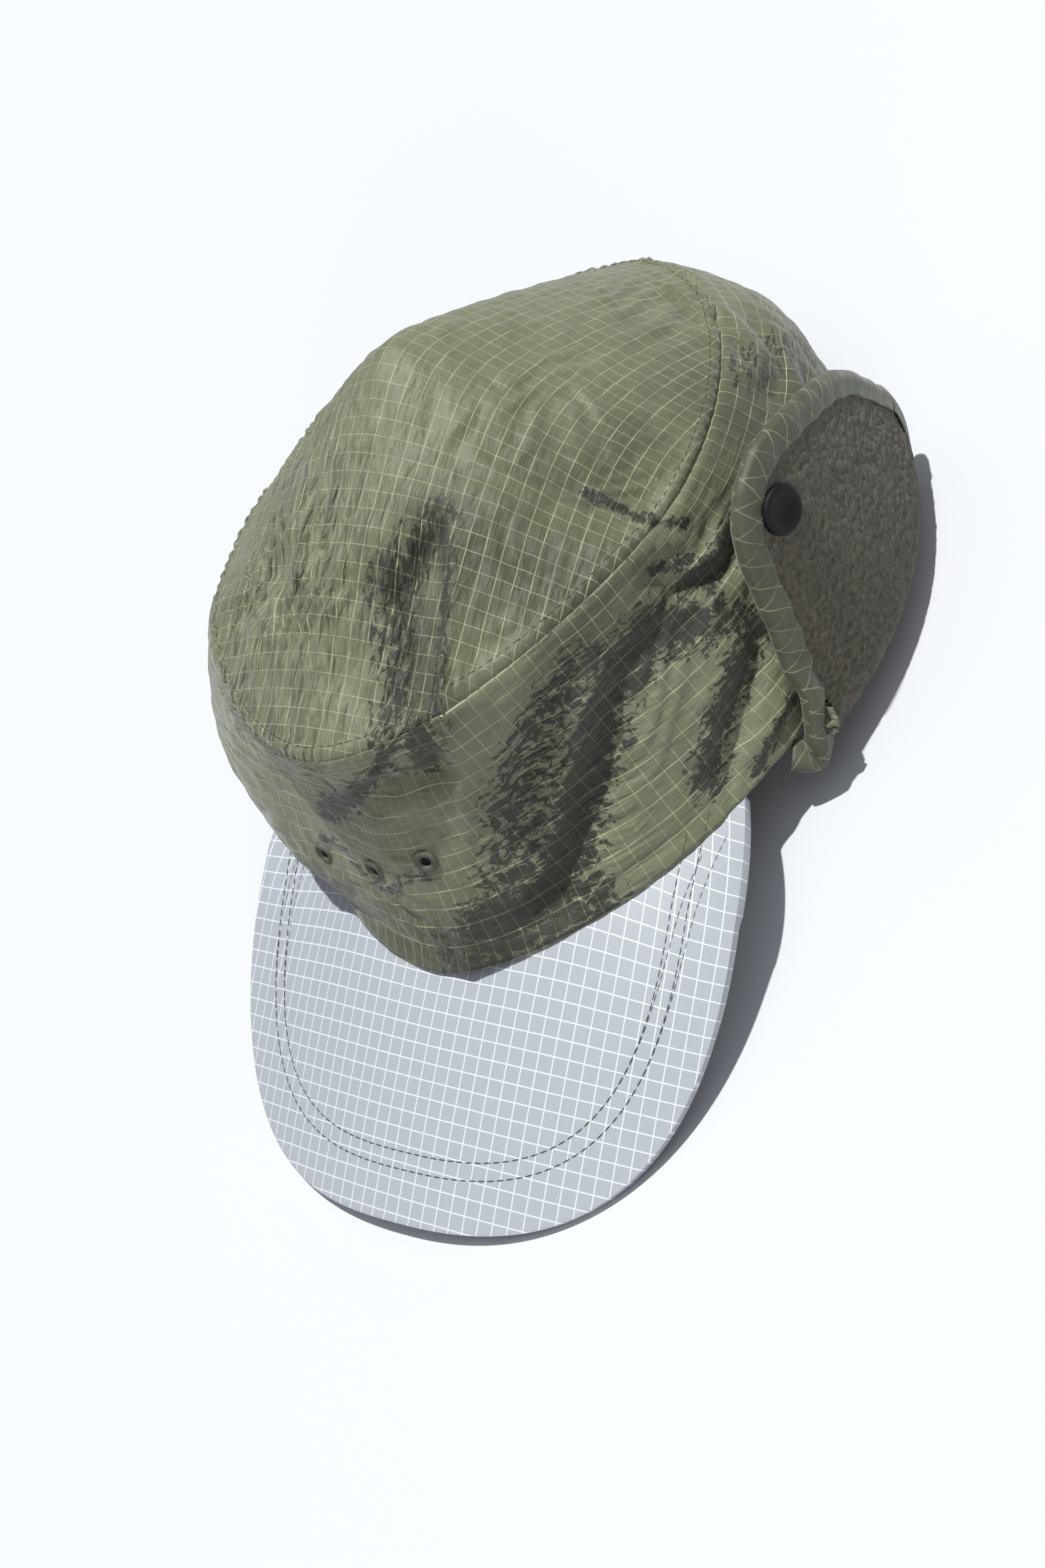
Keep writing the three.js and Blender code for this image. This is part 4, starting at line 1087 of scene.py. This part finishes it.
# %% Bend the peak and make it
PEAK_BEND = 0.005
PEAK_BEND_FORWARD_GAIN = 0.00124
PEAK_BEND_EASE = 1.5
PEAK_BEND_EASE_WIDTH = 85.0
PEAK_NARROWING = 0.014
PEAK_BOW = 1.1
PEAK_DROP = 4.1
PEAK_SETBACK = 1.15
PEAK_TUCK_POWER = 2.5
PEAK_CELLS = (150, 80)
PEAK_GRID_OFFSET = 0.37
PEAK_GRID_TURN = math.radians(-1.6)
PEAK_EDGE = {"rounding": 1.1, "segments": 3, "sharper_than": math.radians(50)}
UNDER_PEAK = Vector((0, -RIM["half_length"], -200))


def peak_bent(flat):
    x, forward = flat[:, 0], flat[:, 1]
    bend = PEAK_BEND / (1 - PEAK_BEND_FORWARD_GAIN * forward)
    eased = PEAK_BEND_EASE * x**4 / (12 * PEAK_BEND_EASE_WIDTH**2)
    sag = bend * (x**2 / 2 - eased)
    narrowed = x * (1 - PEAK_NARROWING * (x / PEAK_HALF_WIDTH) ** 2)
    height = -sag - PEAK_BOW * (forward / PEAK_LENGTH) ** 2 - PEAK_DROP
    reach = forward - PEAK_SETBACK
    y = -reach * math.cos(PEAK_PITCH) - height * math.sin(PEAK_PITCH) - RIM["half_length"]
    z = -reach * math.sin(PEAK_PITCH) + height * math.cos(PEAK_PITCH)
    return np.stack([narrowed, y, z], axis=-1)


def peak_surface(share, forward):
    drawn_in = peak_sewn_at(share) - peak_bent(peak_back(share))
    tuck = (1 - forward) ** PEAK_TUCK_POWER
    return peak_bent(peak_flat(share, forward)) + drawn_in * tuck[:, None]


def peak_shape(u, v):
    flat = peak_flat(u, v)
    s, c = math.sin(PEAK_GRID_TURN), math.cos(PEAK_GRID_TURN)
    across = flat[:, 0] * c - flat[:, 1] * s + PEAK_GRID_OFFSET * PEAK_CELL / MM
    return peak_surface(u, v), np.stack([across, flat[:, 0] * s + flat[:, 1] * c], axis=-1), {}


peak = thicken(new_piece(shaped_grid(*PEAK_CELLS, peak_shape, UNDER_PEAK), "peak_cover"), PEAK_THICKNESS)
rounding = peak.modifiers.new("rounded edge", "BEVEL")
rounding.width = PEAK_EDGE["rounding"] * MM
rounding.segments = PEAK_EDGE["segments"]
rounding.limit_method = "ANGLE"
rounding.angle_limit = PEAK_EDGE["sharper_than"]
dress(peak, peak_cloth, "peak_cloth", "peak")

# %% [markdown]
# ## The peak's stitched lines
# Two rows of stitches follow the peak's edge, about 14 and 19 millimetres in. Walking round the
# outline of the flat pattern and stepping square to it gives both rows; the bend then carries
# them onto the peak.

# %% Stitch the peak
PEAK_STITCH = {"length": 2.6, "pitch": 3.0, "radius": 0.2}
PEAK_STITCH_INSETS = (14.5, 19.3)
PEAK_STITCH_ENDS = 0.055
OUTLINE_STEPS = 260
SHORT_STEP = 0.5


def peak_stitch_line(inset):
    share = np.linspace(PEAK_STITCH_ENDS, 1, OUTLINE_STEPS)
    flat = np.concatenate([peak_outline(share, 1), peak_outline(share[::-1][1:], -1)])
    run = np.gradient(flat, axis=0)
    inward = unit(np.stack([-run[:, 1], run[:, 0], np.zeros(len(run))], axis=-1))[:, :2]
    flat = flat + inward * inset
    line = peak_bent(flat)
    ahead, aside = peak_bent(flat + (SHORT_STEP, 0)), peak_bent(flat + (0, SHORT_STEP))
    normals = unit(np.cross(ahead - line, aside - line))
    normals *= np.sign(normals[:, 2:])
    shows = np.hypot(line[:, 0] / RIM["half_width"], line[:, 1] / RIM["half_length"]) > 1
    return line[shows], normals[shows]


peak_thread = bmesh.new()
for stitch_inset in PEAK_STITCH_INSETS:
    stitch_row(peak_thread, *peak_stitch_line(stitch_inset), PEAK_STITCH)
finish_stitches(peak_thread, "peak_stitches")

# %% [markdown]
# ## The ear flaps
# Each flap is sewn inside the rim, comes out under it, turns up and stands against the outside of
# the band. Its edge and its fold are smooth lines through the few places in the tables, seen from
# the side of the head: along runs backwards from the middle of the head, up from the rim. How far
# out it stands depends on its own curve and on the band behind it.

# %% Lines of the flap
FLAP_EDGE = [(-10, 0), (-2, 27), (4, 50), (9, 60), (21.5, 66), (48, 57.5), (62, 47.5), (71, 34.5), (79, 20)]
FLAP_FOLD = [(-13, -6.8), (8, -5.2), (34, -2), (58, 2), (76, 7)]
FLAP_SEWN = [-18, 2, 24, 42, 58]
FLAP_SIDES = {
    "left": {"side": 1, "reach": 96.0, "lean_in": 4.0, "tallness": 1.0, "clearance": 5.7},
    "right": {"side": -1, "reach": 90.0, "lean_in": 12.0, "tallness": 0.92, "clearance": 6.2},
}
FLEECE = 2.2
LAYER_GAP = 0.35
FLAP_CLOTH = 1.2
FLAP_STACK = FLEECE + LAYER_GAP + FLAP_CLOTH
FLAP_FOLD_RISE = 6.0
FLAP_TURN_DEPTH = 3.2
FLAP_ROOT_DROP = 0.7
FLAP_REACH_CENTRE = 25.0
FLAP_BEND_RADIUS = 82.0
FLAP_LEAN_HEIGHT = 70.0
FLAP_SOFTNESS = 2.0
LINE_STEPS = 400


def even_line(rows, share):
    dense = np.linspace(0, 1, LINE_STEPS)
    line = smooth_line(rows, dense)
    run = np.concatenate([[0], np.cumsum(np.linalg.norm(np.diff(line, axis=0), axis=1))])
    return smooth_line(rows, np.interp(share * run[-1], run, dense))


print("the flap's edge rises", max(up for _, up in FLAP_EDGE), "mm over the rim")

# %% How far out the flap stands
REACH_ANGLES = (math.radians(20), math.radians(170))
REACH_STEPS = 26
FLAP_STEP = 0.01


def band_reach(side, along, up):
    level = np.clip(up / SEAM_HEIGHT, 0, 1)
    low, high = (np.full_like(level, angle) for angle in REACH_ANGLES)
    for _ in range(REACH_STEPS):
        middle = (low + high) / 2
        before = smooth_crown(side * middle, level)[:, 1] < along
        low, high = np.where(before, middle, low), np.where(before, high, middle)
    return np.abs(main_crown(side * low, level)[:, 0])


def flap_face(flap, along, up):
    curve = (along - FLAP_REACH_CENTRE) ** 2 / (2 * FLAP_BEND_RADIUS)
    own = flap["reach"] - curve - flap["lean_in"] * (np.maximum(up, 0) / FLAP_LEAN_HEIGHT) ** 2
    clear = band_reach(flap["side"], along, up) + flap["clearance"]
    reach = (own + clear + np.hypot(own - clear, FLAP_SOFTNESS)) / 2
    return np.stack([flap["side"] * reach, along, up], axis=-1)


def flap_points(flap, share, climb):
    """climb runs from 0 at the sewn edge to 1 at the fold's end, and on to 2 at the free edge."""
    fold = smooth_line(FLAP_FOLD, share)
    edge = even_line(FLAP_EDGE, share) * (1, flap["tallness"])
    sewn = smooth_line([(row, place[1]) for row, place in zip(FLAP_SEWN, FLAP_FOLD)], share)[:, 0]
    rise = np.minimum(FLAP_FOLD_RISE, (edge[:, 1] - fold[:, 1]) / 2)
    face_start = flap_face(flap, fold[:, 0], fold[:, 1] + rise)
    root = -(LAYER_GAP + FLAP_STACK + FLAP_ROOT_DROP)
    reach = flap["side"] * (band_reach(flap["side"], sewn, np.zeros_like(sewn)) - FLAP_STACK)
    start = np.stack([reach, sewn, np.full_like(sewn, root)], axis=-1)
    depth = fold[:, 1] - FLAP_TURN_DEPTH
    first = (start + face_start) / 2
    first[:, 2] = np.minimum(root, depth)
    second = np.stack([face_start[:, 0], fold[:, 0], depth], axis=-1)
    t = np.clip(climb, 0, 1)[:, None]
    early = start * (1 - t) ** 3 + 3 * first * t * (1 - t) ** 2
    turn = early + 3 * second * t**2 * (1 - t) + face_start * t**3
    up = np.clip(climb - 1, 0, 1)
    along = fold[:, 0] + (edge[:, 0] - fold[:, 0]) * up
    height = face_start[:, 2] + (edge[:, 1] - face_start[:, 2]) * up
    return np.where((climb <= 1)[:, None], turn, flap_face(flap, along, height))


def flap_normals(flap, share, climb):
    before, after = np.clip(share - FLAP_STEP, 0, 1), np.clip(share + FLAP_STEP, 0, 1)
    along = flap_points(flap, after, climb) - flap_points(flap, before, climb)
    below, above = np.clip(climb - FLAP_STEP, 0, 2), np.clip(climb + FLAP_STEP, 0, 2)
    over = flap_points(flap, share, above) - flap_points(flap, share, below)
    return unit(np.cross(along, over)) * flap["side"]


# %% [markdown]
# ## Fleece and its lining
# The fleece faces out. Its pile is uneven at two sizes: soft lumps about three millimetres
# across and smaller tufts on top of them. The ripstop behind it is a second sheet, a gap away.

# %% Make the two layers of each flap
FLAP_CELLS = (150, 120)
TURN_SHARE = 0.22
CLIMB_LENGTH = 45
PILE = [(0.34, 0.0, 0.2), (0.8, 3.0, 0.42)]
FLAP_INSIDE = (60, 35, 30)


def flap_layer_shape(flap, depth, pile):
    def shape(u, v):
        climb = np.where(v < TURN_SHARE, v / TURN_SHARE, 1 + (v - TURN_SHARE) / (1 - TURN_SHARE))
        points = flap_points(flap, u, climb)
        normals = flap_normals(flap, u, climb)
        cloth = np.stack([points[:, 1] * flap["side"], climb * CLIMB_LENGTH], axis=-1)
        points = points - normals * depth
        if pile:
            points = points + normals * layered_noise(points, PILE)[:, None]
        return points, cloth, {}

    return shape


for side_name, flap in FLAP_SIDES.items():
    inside = Vector((flap["side"] * FLAP_INSIDE[0], *FLAP_INSIDE[1:]))
    fleece_mesh = shaped_grid(*FLAP_CELLS, flap_layer_shape(flap, 0, True), inside)
    fleece = thicken(new_piece(fleece_mesh, side_name + "_fleece"), FLEECE)
    dress(fleece, fleece_pile, "fleece", side_name + "_flap_fleece")
    lining_mesh = shaped_grid(*FLAP_CELLS, flap_layer_shape(flap, FLEECE + LAYER_GAP, False), inside)
    lining = thicken(new_piece(lining_mesh, side_name + "_lining"), FLAP_CLOTH)
    dress(lining, olive_ripstop, "ripstop", side_name + "_flap_cloth")

# %% [markdown]
# ## The rolled edge
# A strip of ripstop cut on the slant is folded round the flap's edge and sewn down. Its round
# section is a grid wrapped into a tube along the edge: one way of the grid runs along the roll,
# the other round it. Because the strip is cut on the slant, its weave is turned by 45 degrees.

# %% Make the rolled edge
ROLL_RADIUS = 2.8
ROLL_GAP = 0.95
ROLL_CELLS = (300, 36)
ROLL_FRONT = [(2.05, 1.95), (0, 2.8), (-2, 2.6), (-3.6, 2.45)]
ROLL_FRONT += [(-4.9, 2.4), (-5.2, 2.15), (-4.9, 2), (-3.4, 1.9)]
ROLL_BACK = [(x, -y) for x, y in reversed(ROLL_FRONT)]
ROLL_SECTION = [(ROLL_RADIUS, 0), *ROLL_FRONT, (-ROLL_RADIUS, 0), *ROLL_BACK, (ROLL_RADIUS, 0)]
FLAP_COLUMNS = 16
FLAP_CLIMBS = (0, 1 / 3, 2 / 3, 1, 1.25, 1.5, 1.75, 2)
FRONT_ROWS = (0, 1, 2, 3)
BACK_ROWS = (3, 2)
PATH_STEPS = 900
PUFF = {"pitch": 11.0, "height": 0.12, "wander": 7}


def facing_of(rows):
    return unit(np.cross(np.gradient(rows, axis=1), np.gradient(rows, axis=0)))


def roll_frame(flap):
    """The roll's middle line, with the way out past the flap's edge and the way out from the head."""
    share = np.linspace(0, 1, FLAP_COLUMNS + 1)
    rows = np.array([flap_points(flap, share, np.full_like(share, climb)) for climb in FLAP_CLIMBS])
    middle = rows - facing_of(rows) * flap["side"] * FLAP_STACK / 2
    facing = facing_of(middle)
    top_row, back = len(FLAP_CLIMBS) - 1, FLAP_COLUMNS
    walk = [(row, 0) for row in FRONT_ROWS]
    walk += [(top_row, column + 1) for column in range(FLAP_COLUMNS)]
    walk += [(row, back) for row in BACK_ROWS]
    row_index, column_index = np.array(walk).T
    path, outward = middle[row_index, column_index], facing[row_index, column_index]
    ahead = np.vstack([path[1:], path[-1:]]) - np.vstack([path[:1], path[:-1]])
    past_edge = unit(np.cross(outward, ahead))
    share = np.linspace(0, 1, PATH_STEPS)
    centre = smooth_line(path + past_edge * (ROLL_RADIUS + ROLL_GAP), share)
    along = unit(np.gradient(centre, axis=0))
    out = smooth_line(past_edge, share)
    out = unit(out - (out * along).sum(axis=1)[:, None] * along)
    return centre, out, np.cross(along, out) * -flap["side"]


def roll_shape(flap):
    frame_lines = roll_frame(flap)
    run = np.concatenate([[0], np.cumsum(np.linalg.norm(np.diff(frame_lines[0], axis=0), axis=1))])

    def shape(u, v):
        distance = u * run[-1]
        centre, out, away = (
            np.stack([np.interp(distance, run, line[:, axis]) for axis in range(3)], axis=-1)
            for line in frame_lines
        )
        turn = 2 * np.pi * distance / PUFF["pitch"] + np.sin(distance / PUFF["wander"])
        puffs = 1 + PUFF["height"] / ROLL_RADIUS * np.sin(turn)
        ring = smooth_line(ROLL_SECTION, v) * puffs[:, None]
        round_it = v * 2 * np.pi * ROLL_RADIUS
        slant = np.stack([distance + round_it, distance - round_it], axis=-1) / math.sqrt(2)
        return centre + out * ring[:, :1] + away * ring[:, 1:], slant, {}

    return shape


def close_ends(bm):
    open_edges = [edge for edge in bm.edges if edge.is_boundary]
    bmesh.ops.holes_fill(bm, edges=open_edges, sides=0)
    bmesh.ops.recalc_face_normals(bm, faces=bm.faces)


# The roll wears the darker copy of the ripstop, so shade is painted on it.
for side_name, flap in FLAP_SIDES.items():
    roll = shaped_grid(*ROLL_CELLS, roll_shape(flap))
    close_ends(roll)
    dress(new_piece(roll, side_name + "_rolled_edge"), shaded_rolled_ripstop, "ripstop", side_name + "_flap_binding")

# %% [markdown]
# ## The roll's stitches
# The roll is held by a line of stitches on the fleece, right against its inner side.

# %% Stitch the rolled edge
ROLL_STITCH_PLACE = (-4.1, 2.45)
ROLL_STITCH_ENDS = (0.12, 0.93)

sewn = slice(*(int(end * PATH_STEPS) for end in ROLL_STITCH_ENDS))
for side_name, flap in FLAP_SIDES.items():
    centre, out, away = roll_frame(flap)
    held = centre + out * ROLL_STITCH_PLACE[0] + away * ROLL_STITCH_PLACE[1]
    roll_thread = bmesh.new()
    stitch_row(roll_thread, held[sewn], away[sewn])
    finish_stitches(roll_thread, side_name + "_roll_stitches")

# %% [markdown]
# ## The snap
# A black moulded snap is set into the fleece near the roll, to hold the flap down under the chin.
# Half its section is drawn as a chain of points and spun round, which gives it a rounded rim and
# a shallow dish.

# %% Make the snaps
SNAP_PLACE = (15.5, 55.5)
SNAP_SECTION = [(0, 0.9), (3.6, 0.9), (4.3, 1.35), (5.4, 1.6), (6.2, 1.35), (6.6, 0.8), (6.6, -0.6)]
SNAP_STEPS = 64
SNAP_LIFT = 0.35


def make_snap(flap):
    bm = bmesh.new()
    chain = [bm.verts.new((radius, 0, height)) for radius, height in SNAP_SECTION]
    for first, second in zip(chain, chain[1:]):
        bm.edges.new((first, second))
    spin_round(bm, SNAP_STEPS)
    close_ends(bm)
    along, up = np.array([SNAP_PLACE[0]]), np.array([SNAP_PLACE[1] * flap["tallness"]])
    point = flap_face(flap, along, up)
    normal = unit(np.cross(flap_face(flap, along + 1, up) - point, flap_face(flap, along, up + 1) - point))
    place = standing(point[0] + normal[0] * flap["side"] * SNAP_LIFT, normal[0] * flap["side"])
    bmesh.ops.transform(bm, matrix=place, verts=bm.verts)
    return bm


for side_name, flap in FLAP_SIDES.items():
    dress(new_piece(make_snap(flap), side_name + "_snap_disc"), snap_plastic, "snap", side_name + "_snap")

# %% [markdown]
# ## Floor and light
# The hat lies on a plain pale floor. One hard lamp from above and a little behind throws the clear
# shadow. A wide, soft lamp from the front left keeps the band from going black, and a pale sky
# that is brighter overhead fills the rest.

# %% Floor, lamps and sky
FLOOR_SIZE = 12.0
FLOOR_COLOUR = (0.6, 0.61, 0.63, 1.0)
LAMPS = {
    "key lamp": {"from": Vector((0.0, 0.25, 0.968)), "strength": 4.0, "softness": math.radians(1.6)},
    "fill lamp": {"from": Vector((0.68, -0.73, 0.1)), "strength": 1.05, "softness": math.radians(50)},
}
SKY_COLOUR = (0.84, 0.89, 1.0, 1.0)
SKY_BRIGHTENING = (0.15, 0.95, 0.06, 0.5)

floor_mesh = bmesh.new()
bmesh.ops.create_grid(floor_mesh, x_segments=1, y_segments=1, size=FLOOR_SIZE / 2)
floor_data = bpy.data.meshes.new("floor")
floor_mesh.to_mesh(floor_data)
floor_mesh.free()
floor = bpy.data.objects.new("floor", floor_data)
bpy.context.collection.objects.link(floor)
floor_finish, _, floor_shader = new_finish("pale floor", roughness=0.7)
floor_shader.inputs["Base Color"].default_value = FLOOR_COLOUR
floor_data.materials.append(floor_finish)

for lamp_name, settings in LAMPS.items():
    lamp_data = bpy.data.lights.new(lamp_name, "SUN")
    lamp_data.energy = settings["strength"]
    lamp_data.angle = settings["softness"]
    lamp = bpy.data.objects.new(lamp_name, lamp_data)
    lamp.rotation_euler = settings["from"].to_track_quat("Z", "Y").to_euler()
    bpy.context.collection.objects.link(lamp)

sky = bpy.data.worlds.new("sky")
sky.use_nodes = True
sky_tree = sky.node_tree
sky_shader = sky_tree.nodes["Background"]
sky_shader.inputs["Color"].default_value = SKY_COLOUR
direction = add_node(sky_tree, "TexCoord").outputs["Generated"]
height = add_node(sky_tree, "SeparateXYZ", {"Vector": direction}).outputs["Z"]
sky_tree.links.new(smooth_step(sky_tree, height, *SKY_BRIGHTENING), sky_shader.inputs["Strength"])
bpy.context.scene.world = sky
bpy.context.scene.view_settings.view_transform = "Standard"
print("lamps:", ", ".join(LAMPS))
